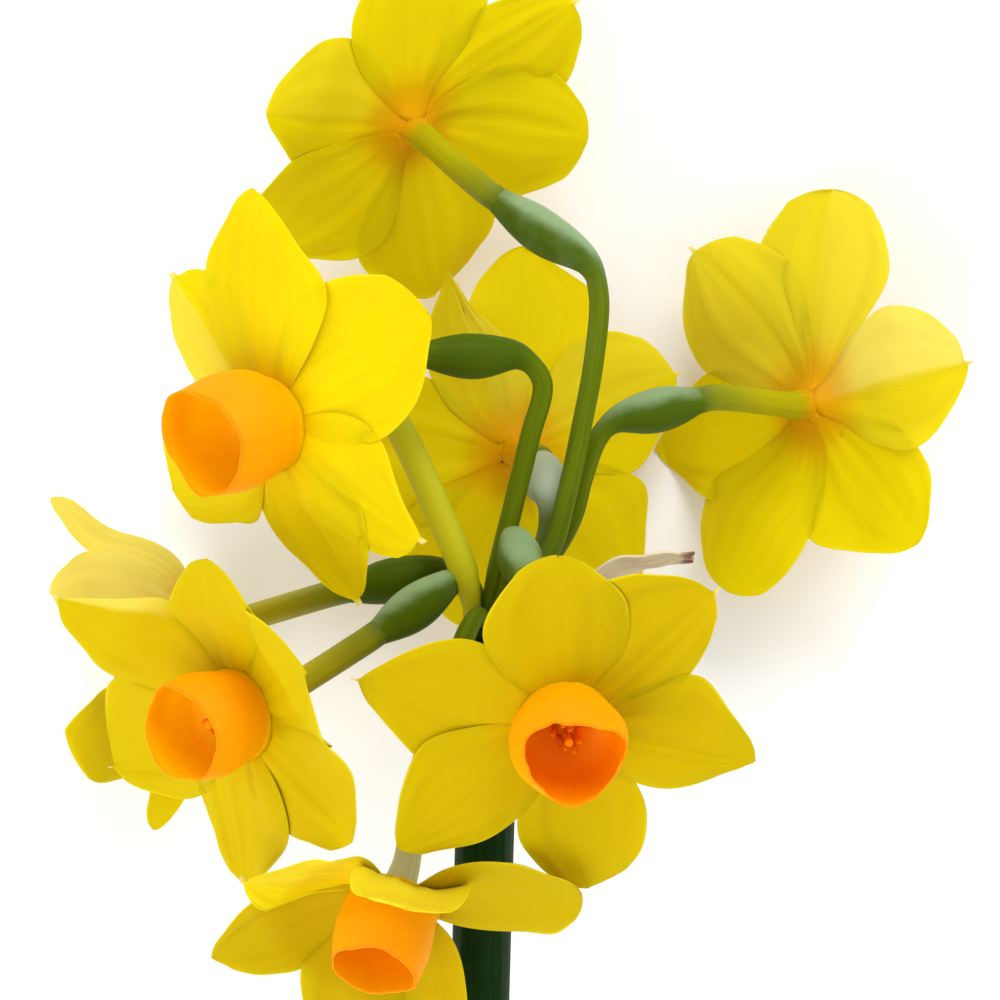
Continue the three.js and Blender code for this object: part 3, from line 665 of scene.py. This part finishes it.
def tepal_relief(s, v, half, fold, rng):
    """Fold, groove, pleats and waves in millimetres, calm where a neighbour covers the tepal."""
    free = 1 - smoothstep(0.45, 0.9, np.abs(v)) * (1 - smoothstep(0.55, 0.75, s))
    swell = smoothstep(0.12, 0.3, s) * (1 - smoothstep(0.7, 1.0, s))
    fold = fold if fold else rng.uniform(-0.05, 0.1)
    fold = fold * half * (np.abs(v) - 0.4) * smoothstep(0.2, 0.5, s)
    groove = -rng.uniform(0.06, 0.2) * np.exp(-(v / 0.09) ** 2)
    pleat = rng.uniform(0.08, 0.18) * np.cos(2 * np.pi * (1.3 * v + rng.uniform(-0.15, 0.15)))
    pleat = pleat + rng.uniform(0.03, 0.08) * np.cos(2 * np.pi * (3.1 * v + 0.4 * s + rng.uniform(0, 1)))
    wave = rng.uniform(0.2, 0.5) * np.sin(2.3 * np.pi * s + rng.uniform(0, 6))
    wave = wave * v * smoothstep(0.4, 0.85, s)
    ripple = 0.25 * np.sin(5.2 * np.pi * s + rng.uniform(0, 6))
    ripple = ripple * np.abs(v) ** 3 * smoothstep(0.6, 0.85, s)
    twist = rng.uniform(-0.08, 0.08) * half * v * smoothstep(0.6, 1.0, s)
    return free * (fold + (groove + pleat) * swell + wave + ripple) + twist


def tepal_grid(floret, number, rng):
    """The grid of points of one tepal, with each point's shares along and across it.

    Rows crowd towards the tip and columns towards the margins, where the form turns fastest.
    """
    turn, rise, length, curl, *sides = floret["tepals"][number]
    sides = (sides * 2)[:2]
    blunt, fold, twist, swerve = (floret[key].get(number, 0)
                                  for key in ("blunt", "folds", "twists", "swerves"))
    outer = (number % 2 == 0) == floret["outer_first"]
    right, up, out = axes_of(floret["facing"])
    cosine, sine = math.cos(math.radians(turn)), math.sin(math.radians(turn))
    away = cosine * right + sine * up
    sideways = cosine * up - sine * right
    u = 1 - (1 - np.linspace(0, 1, TEPAL_ROWS)) ** 1.5
    v = np.sin(np.linspace(-1, 1, TEPAL_COLUMNS) * np.pi / 2 * 0.9) / math.sin(np.pi / 2 * 0.9)
    root = ROOT_REACH / length
    s, v = np.meshgrid(root + (1 - root) * u, v, indexing="ij")
    half = np.where(v < 0, *(half_width(s, root, widths, number in floret["points"], blunt)
                             for widths in sides))
    y = half * v
    tilt = shared_rise(floret, turn + np.degrees(np.arctan2(y, length * s)))
    tilt = tilt + (rise - shared_rise(floret, float(turn))) * smoothstep(0.45, 1.0, s)
    tilt = np.full_like(tilt, rise) if number in floret["apart"] else tilt
    angle = np.radians(tilt + curl * (s - 1) / 2) * smoothstep(*TEPAL_BEND, s)
    twist = np.radians(twist) * smoothstep(0.1, 0.6, s)
    lift = EDGE_LIFT * half * v * v * smoothstep(0.45, 0.8, s)
    height = lift + tepal_relief(s, v, half, fold, rng) + y * np.sin(twist)
    reach = length * s
    height = height - FUNNEL * np.exp(-(np.hypot(reach, y) - ROOT_REACH) / FUNNEL_REACH)
    pressed = 1 if outer else 1 - 0.8 * smoothstep(0.6, 1.0, np.abs(v))
    layer = (-LAYER_OFFSET if outer else LAYER_OFFSET) * pressed
    layer = layer * (0.35 + 0.65 * smoothstep(0.15, 0.45, s))
    outward = reach * np.cos(angle) - height * np.sin(angle)
    forward = reach * np.sin(angle) + height * np.cos(angle) + layer
    aside = y * np.cos(twist) + swerve * smoothstep(0.5, 1.3, s) * 2
    points = (np.array(floret["throat"], float) + away * outward[..., None]
              + out * forward[..., None] + sideways * aside[..., None])
    points[..., 2] = np.maximum(points[..., 2], TABLE + 0.2)
    return points, s, v


print("tepal grid", TEPAL_ROWS, "x", TEPAL_COLUMNS)

# %% [markdown]
# Some tepals end in a whitish point of about a millimetre, left from the bud. The margins
# are thinner than the middle, as in a real petal.

# %% The six tepals of a floret


def tepals_of(name, floret, seed):
    rng = np.random.default_rng(seed)
    right, up, out = axes_of(floret["facing"])
    behind = 0.0 if np.dot(np.cross(right, up), out) > 0 else 1.0
    bodies, faces, total = [], [], 0
    marks = {key: [] for key in ("along", "across", "phase", "painted_highlight", "point", "painted_shade", "warm", "back")}
    for number in range(6):
        points, s, v = tepal_grid(floret, number, rng)
        margin = 1 - smoothstep(0.7, 1.0, np.abs(v)) * 0.7
        thickness = TEPAL_THICKNESS * margin * (1 - 0.4 * smoothstep(0.8, 1.0, s))
        body, quads = thin_body(points, thickness)
        bodies.append(body)
        faces.append(quads + total)
        total += len(body)
        # Painted highlight on the sides and on the rolled clockwise margin that face the light.
        clockwise, counter = floret["painted_highlight"].get(number, (0, 0))
        painted_highlight = clockwise + (counter - clockwise) * smoothstep(-0.04, 0.1, v)
        rim = floret["rim_highlights"].get(number, 0) * smoothstep(0.62, 0.8, -v) * smoothstep(0.45, 0.65, s)
        point = smoothstep(BODY_END - 0.005, 0.99, s) * (number in floret["points"])
        # Painted shade for the whole floret, spared on its lit tepals.
        painted_shade = floret["painted_shade"] * (1 - floret["bright"].get(number, 0))
        both = dict(along=s, across=v, phase=rng.uniform(0, 50), painted_highlight=np.maximum(painted_highlight, rim),
                    point=point, painted_shade=painted_shade, warm=floret["warm"])
        for key, values in both.items():
            marks[key] += [np.broadcast_to(values, s.shape)] * 2
        marks["back"] += [np.full(s.shape, behind), np.full(s.shape, 1 - behind)]
    mesh_piece(f"{name}_tepals", np.concatenate(bodies), np.concatenate(faces), marks,
               TEPAL_SKIN, f"{name}_perianth")


for seed, (name, floret) in enumerate(FLORETS.items()):
    tepals_of(name, floret, 10 + seed)

# %% [markdown]
# ## Cups
# The cup is a wall turned round the facing axis, but no real cup is round. Each gets its own
# seeded unevenness, and some get a small list of dents: where round the rim, how wide, and how
# far out and up the rim goes there. A bulge is where, how wide, and how far out the middle of
# the wall goes.

# %% Corona shape
CORONA_BASE = 4.6
CORONA_FOOT = -0.04
CORONA_LIFT = 0.9
FLOOR_LIFT = 0.5
FLOOR_SHARES = (0.7, 0.4, 0.15)
FOOT_FLARE = 0.6
BOWL = 1.6
CORONA_WALL = 0.32
CORONA_KNOTS = (0, 0.22, 0.6, 1)
CORONA_ROWS = 26
CORONA_COLUMNS = 96
RIM_DENTS = {
    "front": [(92, 36, -1.4, -0.9), (28, 24, 0.7, 0.1), (152, 24, 0.8, 0.1), (118, 8, 0.4, -0.3),
              (-90, 45, -0.3, -0.5), (-35, 26, -0.7, -0.2), (-145, 26, -0.6, -0.2)],
    "upleft": [(66, 40, -1.3, -0.6), (128, 28, 1.0, 0.1), (165, 30, 0.3, 0.3), (-80, 40, 0.4, 0.3)],
    "left": [(40, 45, -1.3, -0.5), (110, 25, 0.3, 0.0), (-130, 50, 0.3, 0.2)],
    "low": [(90, 60, -0.6, -0.6)],
}
CUP_BULGES = {"upleft": [(75, 50, 1.0)], "front": [(170, 50, 0.5)], "low": [(90, 60, 0.4)]}


def corona_wall(name, floret, inset, rng):
    """The points of one face of the cup's wall, inset from its outer face."""
    height, body, rim = floret["cup"]
    t = np.linspace(0, 1, CORONA_ROWS)
    radii = [CORONA_BASE, CORONA_BASE + 0.6 * (body - CORONA_BASE), body, rim]
    radius = np.interp(t, CORONA_KNOTS, radii)
    radius = np.convolve(np.pad(radius, 3, mode="reflect", reflect_type="odd"), np.ones(7) / 7, "valid")
    turn = np.linspace(0, 2 * np.pi, CORONA_COLUMNS, endpoint=False)
    t, turn = np.meshgrid(t, turn, indexing="ij")
    shift = rng.uniform(0, 6, 4)
    uneven = 0.022 * np.cos(6 * turn + shift[0]) * t + 0.03 * np.cos(2 * turn + shift[1]) * t ** 2
    frill = 0.04 * np.cos(11 * turn + shift[2]) + 0.03 * np.cos(17 * turn + shift[3])
    radius = radius[:, None] * (1 + uneven) + frill * t ** 4
    rise = height * t * (1 + 0.03 * np.cos(3 * turn + shift[1]) * t)
    for place, spread, outward, upward in RIM_DENTS.get(name, []):
        weight = nearness(np.degrees(turn), place, spread) * t ** 2
        radius = radius + outward * weight
        rise = rise + upward * weight
    for place, spread, outward in CUP_BULGES.get(name, []):
        radius = radius + outward * nearness(np.degrees(turn), place, spread) * np.sin(np.pi * t)
    if inset:
        foot = -BOWL * (1 - smoothstep(0.0, CORONA_KNOTS[1], t)) ** 2
        rise = rise + FLOOR_LIFT * np.exp(-t / 0.1)
    else:
        foot = FOOT_FLARE * np.exp(-t / 0.05)
    radius = radius - inset * (1 - 0.45 * t) + foot
    right, up, out = axes_of(floret["facing"])
    ring = right * np.cos(turn)[..., None] + up * np.sin(turn)[..., None]
    lift = CORONA_FOOT + CORONA_LIFT * t + rise
    points = np.array(floret["throat"], float) + ring * radius[..., None] + out * lift[..., None]
    return points, t, turn


def corona_of(name, floret, seed):
    (outside, t, turn), (inside, _, _) = (
        corona_wall(name, floret, inset, np.random.default_rng(seed)) for inset in (0.0, CORONA_WALL))
    middle = inside[0].mean(0)
    floor = [middle + (inside[0] - middle) * share for share in FLOOR_SHARES]
    rows = np.concatenate([outside, inside[::-1], floor])
    rings = len(floor)
    marks = {
        "along": np.concatenate([t, t[::-1], 0 * t[:rings]]),
        "across": np.concatenate([turn, turn, turn[:rings]]) / (2 * np.pi),
        "inside": np.repeat([0.0, 1.0], [t.size, t.size + rings * CORONA_COLUMNS]),
        "hollow_shade": floret["hollow_shade"],
    }
    mesh_piece(f"{name}_cup", rows.reshape(-1, 3), ring_faces(len(rows), CORONA_COLUMNS), marks,
               CORONA_SKIN, f"{name}_corona")


for seed, (name, floret) in enumerate(FLORETS.items()):
    corona_of(name, floret, 40 + seed)

# %% [markdown]
# ## Stalks
# Tube, ovary and pedicel are sweeps: a round section follows a path and swells on its way.
# That is a rule, so Geometry Nodes make it. The path is a line of points that carries the
# radius at each point, and the tree has named inputs for the number of sides and the ribs.

# %% A tree that sweeps a section along a path


class Tree(Nodes):
    """A Geometry Nodes group with named inputs."""

    def __init__(self, name, inputs):
        super().__init__(bpy.data.node_groups.new(name, "GeometryNodeTree"))
        face = self.tree.interface
        face.new_socket("Geometry", in_out="INPUT", socket_type="NodeSocketGeometry")
        for label, kind, value in inputs:
            face.new_socket(label, in_out="INPUT", socket_type=kind).default_value = value
        face.new_socket("Geometry", in_out="OUTPUT", socket_type="NodeSocketGeometry")
        self.given = self.tree.nodes.new("NodeGroupInput").outputs
        self.end = self.tree.nodes.new("NodeGroupOutput").inputs["Geometry"]

    def named(self, label):
        wanted = {"Name": label}
        return self.add("GeometryNodeInputNamedAttribute", wanted, "Attribute", data_type="FLOAT")

    def finish(self, geometry, material):
        real = self.add("GeometryNodeRealizeInstances", {"Geometry": geometry})
        self.put(self.add("GeometryNodeSetMaterial", {"Geometry": real, "Material": material}), self.end)
        return self.tree


def sweep_tree(name, material):
    tree = Tree(name, [("Sides", "NodeSocketInt", 24), ("Ribs", "NodeSocketFloat", 6.0),
                       ("Rib Depth", "NodeSocketFloat", 0.0)])
    path = tree.add("GeometryNodeMeshToCurve", {"Mesh": tree.given["Geometry"]})
    ring = tree.add("GeometryNodeCurvePrimitiveCircle", {"Radius": 1.0, "Resolution": tree.given["Sides"]})
    share = tree.add("GeometryNodeSplineParameter", output="Factor")
    section = {"Geometry": ring, "Name": "around", "Value": share}
    ring = tree.add("GeometryNodeStoreNamedAttribute", section, data_type="FLOAT", domain="POINT")
    size, around = tree.named("size"), tree.named("around")
    sweep = {"Curve": path, "Profile Curve": ring, "Scale": size, "Fill Caps": True}
    body = tree.add("GeometryNodeCurveToMesh", sweep)
    turn = tree.times(around, 2 * math.pi)
    ribs = tree.maths("COSINE", tree.times(turn, tree.given["Ribs"]))
    amount = tree.times(ribs, tree.times(tree.given["Rib Depth"], size))
    normal = tree.add("GeometryNodeInputNormal", output="Normal")
    push = tree.add("ShaderNodeVectorMath", {0: normal, "Scale": amount}, operation="SCALE")
    return tree.finish(tree.add("GeometryNodeSetPosition", {"Geometry": body, "Offset": push}), material)


SWEEP_SKINS = {"stalk": STALK_SKIN, "tube": TUBE_SKIN}
SWEEPS = {kind: sweep_tree(f"{kind}_sweep", skin) for kind, skin in SWEEP_SKINS.items()}
print("made", [group.name for group in SWEEPS.values()])

# %% [markdown]
# A modifier's inputs are set by the socket's identifier. The evaluated result becomes a
# plain mesh, and the modifier is taken off before the piece is given to the frame.

# %% Sweep a path


def between(t, start, end, first, second):
    return (end - t) / (end - start) * first + (t - start) / (end - start) * second


def smooth_path(route, step=0.5):
    """A smooth curve through the points of route, in steps of about step millimetres."""
    points = [np.array(p, float) for p in route]
    points = [2 * points[0] - points[1]] + points + [2 * points[-1] - points[-2]]
    result = []
    for p0, p1, p2, p3 in zip(points, points[1:], points[2:], points[3:]):
        t0 = 0.0
        t1 = t0 + np.linalg.norm(p1 - p0) ** 0.5
        t2 = t1 + np.linalg.norm(p2 - p1) ** 0.5
        t3 = t2 + np.linalg.norm(p3 - p2) ** 0.5
        count = max(2, int(np.linalg.norm(p2 - p1) / step))
        for t in np.linspace(t1, t2, count, endpoint=False):
            a1 = between(t, t0, t1, p0, p1)
            a2 = between(t, t1, t2, p1, p2)
            a3 = between(t, t2, t3, p2, p3)
            b1 = between(t, t0, t2, a1, a2)
            b2 = between(t, t1, t3, a2, a3)
            result.append(between(t, t1, t2, b1, b2))
    result.append(points[-2])
    result = np.array(result)
    lengths = np.concatenate([[0], np.cumsum(np.linalg.norm(np.diff(result, axis=0), axis=1))])
    return result, lengths


def grown(name, mesh, group, settings):
    """The mesh that a Geometry Nodes group makes of a given mesh."""
    carrier = new_object(f"{name}_carrier", mesh)
    modifier = carrier.modifiers.new("grow", "NODES")
    modifier.node_group = group
    sockets = {item.name: item.identifier for item in group.interface.items_tree if item.in_out == "INPUT"}
    for label, value in settings.items():
        modifier[sockets[label]] = value
    shape = carrier.evaluated_get(bpy.context.evaluated_depsgraph_get())
    result = bpy.data.meshes.new_from_object(shape)
    bpy.data.objects.remove(carrier)
    result.name = name
    return result


def swept(name, kind, points, marks, settings, node):
    line = bpy.data.meshes.new(f"{name}_line")
    line.from_pydata(placed(points).tolist(), [(k, k + 1) for k in range(len(points) - 1)], [])
    add_marks(line, marks)
    dressed(name, grown(name, line, SWEEPS[kind], settings), SWEEP_SKINS[kind], node)


print("sweep ready")

# %% [markdown]
# ### Pedicels with their ovaries
# A pedicel is thin and straight-sided. Under the flower it swells into the ovary, a green
# bean with three soft corners, which ends where the flower's tube begins.

# %% Make the pedicels
MARK_LENGTH = 20.0
PEDICEL_RADIUS = 1.1
ROOT_RADIUS = 0.68
ROOT_CIRCLE = 2.25
ROOT_TAPER = 6.0
OVARY_RADIUS = 2.45
OVARY_TOP_RADIUS = 1.45
OVARY_REACH = 1.15
SWELLING = 0.8
OVARY_SHOULDER = 1.4
SCAPE_LENGTH = 152.0
SCAPE_HALF_WIDTH = 3.0
SCAPE_HALF_DEPTH = 2.6
SCAPE_TOP = np.array([1.3, -0.6, 0.0])
SCAPE_BOW = 1.6
SCAPE_SLOPE = math.asin((-TABLE - SCAPE_HALF_DEPTH) / SCAPE_LENGTH)
SCAPE_WAY = np.array([0, math.cos(SCAPE_SLOPE), math.sin(SCAPE_SLOPE)])
SCAPE_FRONT = np.array([0, -math.sin(SCAPE_SLOPE), math.cos(SCAPE_SLOPE)])


def root_point(root):
    spot = SCAPE_TOP + SCAPE_WAY * SEAM
    if root is None:
        return spot
    angle = math.radians(root)
    return spot + ROOT_CIRCLE * (np.array([math.cos(angle), 0, 0]) + SCAPE_FRONT * math.sin(angle))


def pedicel_of(name, floret):
    top, base = np.array(floret["tube_end"], float), np.array(floret["ovary_base"], float)
    root = root_point(floret["root"])
    route = [top, (top + base) / 2, base, *floret["bends"], root + SCAPE_WAY * floret["rise"], root]
    points, lengths = smooth_path(route)
    along = lengths / (np.linalg.norm(top - base) * OVARY_REACH)
    above = np.minimum(1, (lengths[-1] - lengths) / ROOT_TAPER)
    thin = ROOT_RADIUS + (PEDICEL_RADIUS * floret["stout"] - ROOT_RADIUS) * above
    share = np.minimum(1, along)
    ends = OVARY_TOP_RADIUS + (thin - OVARY_TOP_RADIUS) * share
    swell = np.maximum(np.sin(np.pi * share ** SWELLING), 0) ** OVARY_SHOULDER
    size = np.where(share < 1, ends + (OVARY_RADIUS - ends) * swell, thin)
    ovary = (1 - smoothstep(0.75, 1.15, along)) * (0.45 + 0.55 * smoothstep(0.0, 0.16, share))
    marks = dict(size=size * MM, along=lengths / MARK_LENGTH, ovary=ovary,
                 ripe=floret["ripe"], bloom_and_sheen=floret["bloom_and_sheen"])
    swept(f"{name}_stalk", "stalk", points, marks, {"Sides": 30, "Ribs": 3.0, "Rib Depth": 0.03},
          f"{name}_pedicel")


for name, floret in {**FLORETS, "bud": BUD}.items():
    pedicel_of(name, floret)

# %% [markdown]
# ### Tubes
# Behind the tepals the flower narrows into a slender tube. It flares where the tepals leave
# it, and is green near the ovary and yellow at the flare, where a painted orange glow stands
# for light coming through the cup.

# %% Make the tubes
TUBE_RADIUS = 1.42
NECK_RADIUS = 1.7
NECK_LENGTH = 4.5
FLARE_RADIUS = 1.85
FLARE_LENGTH = 1.0
TUBE_SINK = 0.55


def tube_of(name, floret):
    out, reach = unit(floret["facing"]), floret["neck"]
    throat, end = np.array(floret["throat"], float), np.array(floret["tube_end"], float)
    way = unit(np.array(floret["ovary_base"], float) - end)
    route = [end + way * SEAM, end - way * floret["straight"], throat - out * reach,
             throat - out * (reach + FUNNEL) * 0.5, throat - out * (FUNNEL - TUBE_SINK)]
    points, lengths = smooth_path(route, 0.25)
    left = lengths[-1] - lengths
    neck = 1 - smoothstep(0.0, NECK_LENGTH, left)
    flare = (1 - smoothstep(0.0, FLARE_LENGTH, left)) ** 1.5
    size = TUBE_RADIUS + (NECK_RADIUS - TUBE_RADIUS) * neck + (FLARE_RADIUS - NECK_RADIUS) * flare
    marks = dict(size=size * MM, along=lengths / lengths[-1], painted_glow=floret["painted_glow"], fade=floret["fade"])
    swept(f"{name}_tube", "tube", points, marks, {"Sides": 36, "Ribs": 6.0, "Rib Depth": 0.015},
          f"{name}_perianth")


for name, floret in FLORETS.items():
    tube_of(name, floret)

# %% [markdown]
# ### The bud
# The ninth pedicel carries a flower that hasn't opened. Its tepals are still wrapped round
# each other, so it is a spindle with three soft ribs.

# %% Make the bud
BUD_END_RADII = (1.45, 0.25)
BUD_SWELLING = 2.6


def bud_of():
    start, tip = np.array(BUD["tube_end"], float), np.array(BUD["tip"], float)
    way = unit(start - np.array(BUD["ovary_base"], float))
    route = [start + way * SEAM, start + way * BUD["straight"], start + (tip - start) * 0.6, tip]
    points, lengths = smooth_path(route, 0.35)
    share = lengths / lengths[-1]
    swell = np.maximum(np.sin(np.pi * share ** 1.25), 0) ** 1.25
    size = np.interp(share, [0, 1], BUD_END_RADII) + BUD_SWELLING * swell
    marks = dict(size=size * MM, along=0.15 + 0.6 * share)
    settings = {"Sides": 36, "Ribs": 3.0, "Rib Depth": 0.09}
    swept("bud_tepals", "tube", points, marks, settings, "bud_head")


bud_of()

# %% [markdown]
# ## Stamens
# Six anthers stand in a ring round the style. They repeat, so a tree places copies of one
# anther on a circle, each tilted a little by a seeded random number.

# %% Make the stamens
ANTHER = dict(radius=0.45, foot=-0.8, top=2.5, groove=0.3)
STYLE = dict(radius=0.34, foot=-0.8, top=3.2)
STIGMA = dict(radius=0.5, foot=2.9, top=3.5)
STAMEN_LIFT = 1.05
CAPSULE_ROWS = 11
CAPSULE_COLUMNS = 12


def anther_ring_tree():
    tree = Tree("anther_ring", [("Count", "NodeSocketInt", 6), ("Circle", "NodeSocketFloat", 1.2 * MM),
                                ("Tilt", "NodeSocketFloat", 0.25), ("Seed", "NodeSocketInt", 1)])
    circle = {"Vertices": tree.given["Count"], "Radius": tree.given["Circle"]}
    ring = tree.add("GeometryNodeMeshCircle", circle)
    most = tree.given["Tilt"]
    low, high = (tree.add("ShaderNodeCombineXYZ", {"X": tilt, "Y": tilt})
                 for tilt in (tree.times(most, -1.0), most))
    limits = {"Min": low, "Max": high, "Seed": tree.given["Seed"]}
    lean = tree.add("FunctionNodeRandomValue", limits, "Value", data_type="FLOAT_VECTOR")
    copies = {"Points": ring, "Instance": tree.given["Geometry"], "Rotation": lean}
    return tree.finish(tree.add("GeometryNodeInstanceOnPoints", copies), STAMEN_SKIN)


def capsule(radius, foot, top, groove=0.0):
    """A closed slim body between the heights foot and top, pinched by a groove all along."""
    a, turn = np.meshgrid(np.linspace(0, np.pi, CAPSULE_ROWS),
                          np.linspace(0, 2 * np.pi, CAPSULE_COLUMNS, endpoint=False), indexing="ij")
    r = np.maximum(radius * np.maximum(np.sin(a), 0) ** 0.6, 0.02) * (1 - groove * np.cos(2 * turn) ** 2)
    height = (foot + top) / 2 - (top - foot) / 2 * np.cos(a)
    points = np.stack([r * np.cos(turn), r * np.sin(turn), height], -1).reshape(-1, 3)
    return points, ring_faces(CAPSULE_ROWS, CAPSULE_COLUMNS)


ANTHER_RING = anther_ring_tree()


def stamens_of(name, floret, seed):
    points, faces = capsule(**ANTHER)
    mesh = bpy.data.meshes.new(f"{name}_anther")
    mesh.from_pydata((points * MM).tolist(), [], faces)
    ring = grown(f"{name}_anthers", mesh, ANTHER_RING, {"Seed": seed})
    shell = bmesh.new()
    shell.from_mesh(ring)
    style = shell.verts.layers.float.new("style")
    for body, faces in (capsule(**STYLE), capsule(**STIGMA)):
        made = [shell.verts.new(Vector(p) * MM) for p in body]
        for vertex in made:
            vertex[style] = 1.0
        for face in faces:
            shell.faces.new([made[k] for k in face])
    bmesh.ops.recalc_face_normals(shell, faces=shell.faces)
    shell.to_mesh(ring)
    shell.free()
    axes = axes_of(floret["facing"])
    turn = Matrix(np.stack(axes, 1).tolist()).to_4x4()
    if turn.determinant() < 0:
        ring.flip_normals()
    foot = np.array(floret["throat"]) + axes[2] * STAMEN_LIFT
    ring.transform(Matrix.Translation(placed(foot)) @ turn)
    dressed(f"{name}_anthers", ring, STAMEN_SKIN, f"{name}_stamens")


for seed, (name, floret) in enumerate(FLORETS.items()):
    stamens_of(name, floret, 70 + seed)

# %% [markdown]
# ## Scape
# The scape is the leafless stem. It is slightly flattened, with two blunt edges and fine
# ribs, and hollow: the cut end shows a green ring round a dark hole.

# %% Make the scape
SCAPE_SIDES = 48
TOP_ROUNDING = (0.72, 0.93)
CUT_ROUNDING = 0.97
HOLLOW_DEPTH = 16.0
HOLLOW_SHARE = 0.55


def scape_of():
    end = SCAPE_TOP - SCAPE_WAY * SCAPE_LENGTH
    middle = (SCAPE_TOP + end) / 2 - np.array([SCAPE_BOW, 0, 0])
    points, lengths = smooth_path([SCAPE_TOP, middle, end], 1.2)
    tangent = unit(np.gradient(points, axis=0))
    across = unit(np.array([1, 0, 0]) - tangent * tangent[:, :1])
    front = np.cross(across, tangent)
    turn = np.linspace(0, 2 * np.pi, SCAPE_SIDES, endpoint=False)
    ribs = 1 + 0.02 * np.cos(8 * turn) + 0.015 * np.cos(16 * turn)
    edge = 1 + 0.03 * np.cos(2 * turn)
    outer = np.arange(len(points))
    inner = outer[lengths > lengths[-1] - HOLLOW_DEPTH][::-1]
    order = np.concatenate([outer, outer[-1:], inner])
    share = np.ones(len(outer))
    share[:len(TOP_ROUNDING)] = TOP_ROUNDING
    share = np.concatenate([share, [CUT_ROUNDING], np.full(len(inner), HOLLOW_SHARE)])[:, None]
    x = SCAPE_HALF_WIDTH * share * ribs * edge * np.cos(turn)
    z = SCAPE_HALF_DEPTH * share * ribs * np.sin(turn)
    rows = (points[order][:, None] + across[order][:, None] * x[..., None]
            + front[order][:, None] * z[..., None])
    rows[..., 2] = np.maximum(rows[..., 2], TABLE + 0.02)
    marks = dict(along=np.repeat(lengths[order] / MARK_LENGTH, SCAPE_SIDES),
                 around=np.tile(turn / (2 * np.pi), len(order)), ovary=0.0, ripe=0.0, bloom_and_sheen=1.0)
    mesh_piece("scape_stem", rows.reshape(-1, 3), ring_faces(len(order), SCAPE_SIDES), marks,
               SCAPE_SHADED_SKIN, "scape")


scape_of()

# %% [markdown]
# ## Spathe
# The dry sheath is a strip of pale brown paper. It starts beside the top of the scape, stands
# on its edge, bends away to the side and wrinkles across its length.

# %% Make the spathe
SPATHE_START = np.array([5.1, -2.4, -0.4])
SPATHE_LENGTH = 17.8
SPATHE_HALF_WIDTH = 2.6
SPATHE_BEND = 7.7
SPATHE_THICKNESS = 0.3


def spathe_of():
    rng = np.random.default_rng(5)
    u, v = np.meshgrid(np.linspace(0, 1, 60), np.linspace(-1, 1, 17), indexing="ij")
    half = SPATHE_HALF_WIDTH * (0.62 + 0.38 * np.sin(np.pi * (0.2 + 0.75 * u)))
    x = SPATHE_LENGTH * u + 0.35 * u ** 8 * np.sin(7 * v + 1)
    y = SPATHE_BEND * np.sin(np.pi / 2 * np.minimum(1, u * 1.5)) + 0.34 * half * v
    y = y + 1.1 * smoothstep(0.5, 1.0, u) + 0.5 * v * v
    wrinkle = 0.15 * np.sin(23 * u + 3 * v + rng.uniform(0, 6))
    wrinkle = wrinkle + 0.2 * np.sin(9 * u - 2 * v + rng.uniform(0, 6))
    y = y + wrinkle * smoothstep(0, 0.2, u)
    z = 1.2 * np.sin(np.pi * u) + half * v
    body, faces = thin_body(np.stack([x, y, z], -1) + SPATHE_START, SPATHE_THICKNESS)
    marks = dict(along=np.tile(u.ravel(), 2), across=np.tile(v.ravel(), 2))
    mesh_piece("spathe_paper", body, faces, marks, SPATHE_SKIN, "spathe")


spathe_of()

# %% [markdown]
# ## Table and light
# A pale matt table and two large soft lights, one beyond the flowers and one on the camera's
# side, give the even light of the photograph.

# %% Floor, lights and surroundings
FLOOR_HALF = 3.0
LIGHT_TARGET = (0, 0.05, 0.03)
SURROUND = 0.84


def make_floor():
    mesh = bpy.data.meshes.new("floor")
    corners = [(FLOOR_HALF * x, FLOOR_HALF * y, 0) for x, y in ((-1, -1), (1, -1), (1, 1), (-1, 1))]
    mesh.from_pydata(corners, [], [(0, 1, 2, 3)])
    floor = new_object("floor", mesh)
    skin = Skin("floor_skin", rough=0.9, specular=0.1)
    grain = skin.noise(skin.object_place(), 30.0, 2.0)
    skin.body = skin.blend(grain, linear(252, 252, 252), linear(246, 246, 246))
    mesh.materials.append(skin.done())


def make_light(name, spot, size, power):
    data = bpy.data.lights.new(name, "AREA")
    data.shape = "DISK"
    data.size = size
    data.energy = power
    light = new_object(name, data)
    light.location = spot
    light.rotation_euler = (Vector(LIGHT_TARGET) - Vector(spot)).to_track_quat("-Z", "Y").to_euler()


make_floor()
make_light("key", (0.35, 1.1, 1.0), 0.9, 11.4)
make_light("fill", (-0.7, -0.8, 1.0), 1.2, 13.2)
world = bpy.data.worlds.new("studio")
bpy.context.scene.world = world
world.use_nodes = True
background = world.node_tree.nodes["Background"]
background.inputs["Color"].default_value = (1, 1, 1, 1)
background.inputs["Strength"].default_value = SURROUND
bpy.context.scene.view_settings.view_transform = "Standard"
print("floor and lights ready")
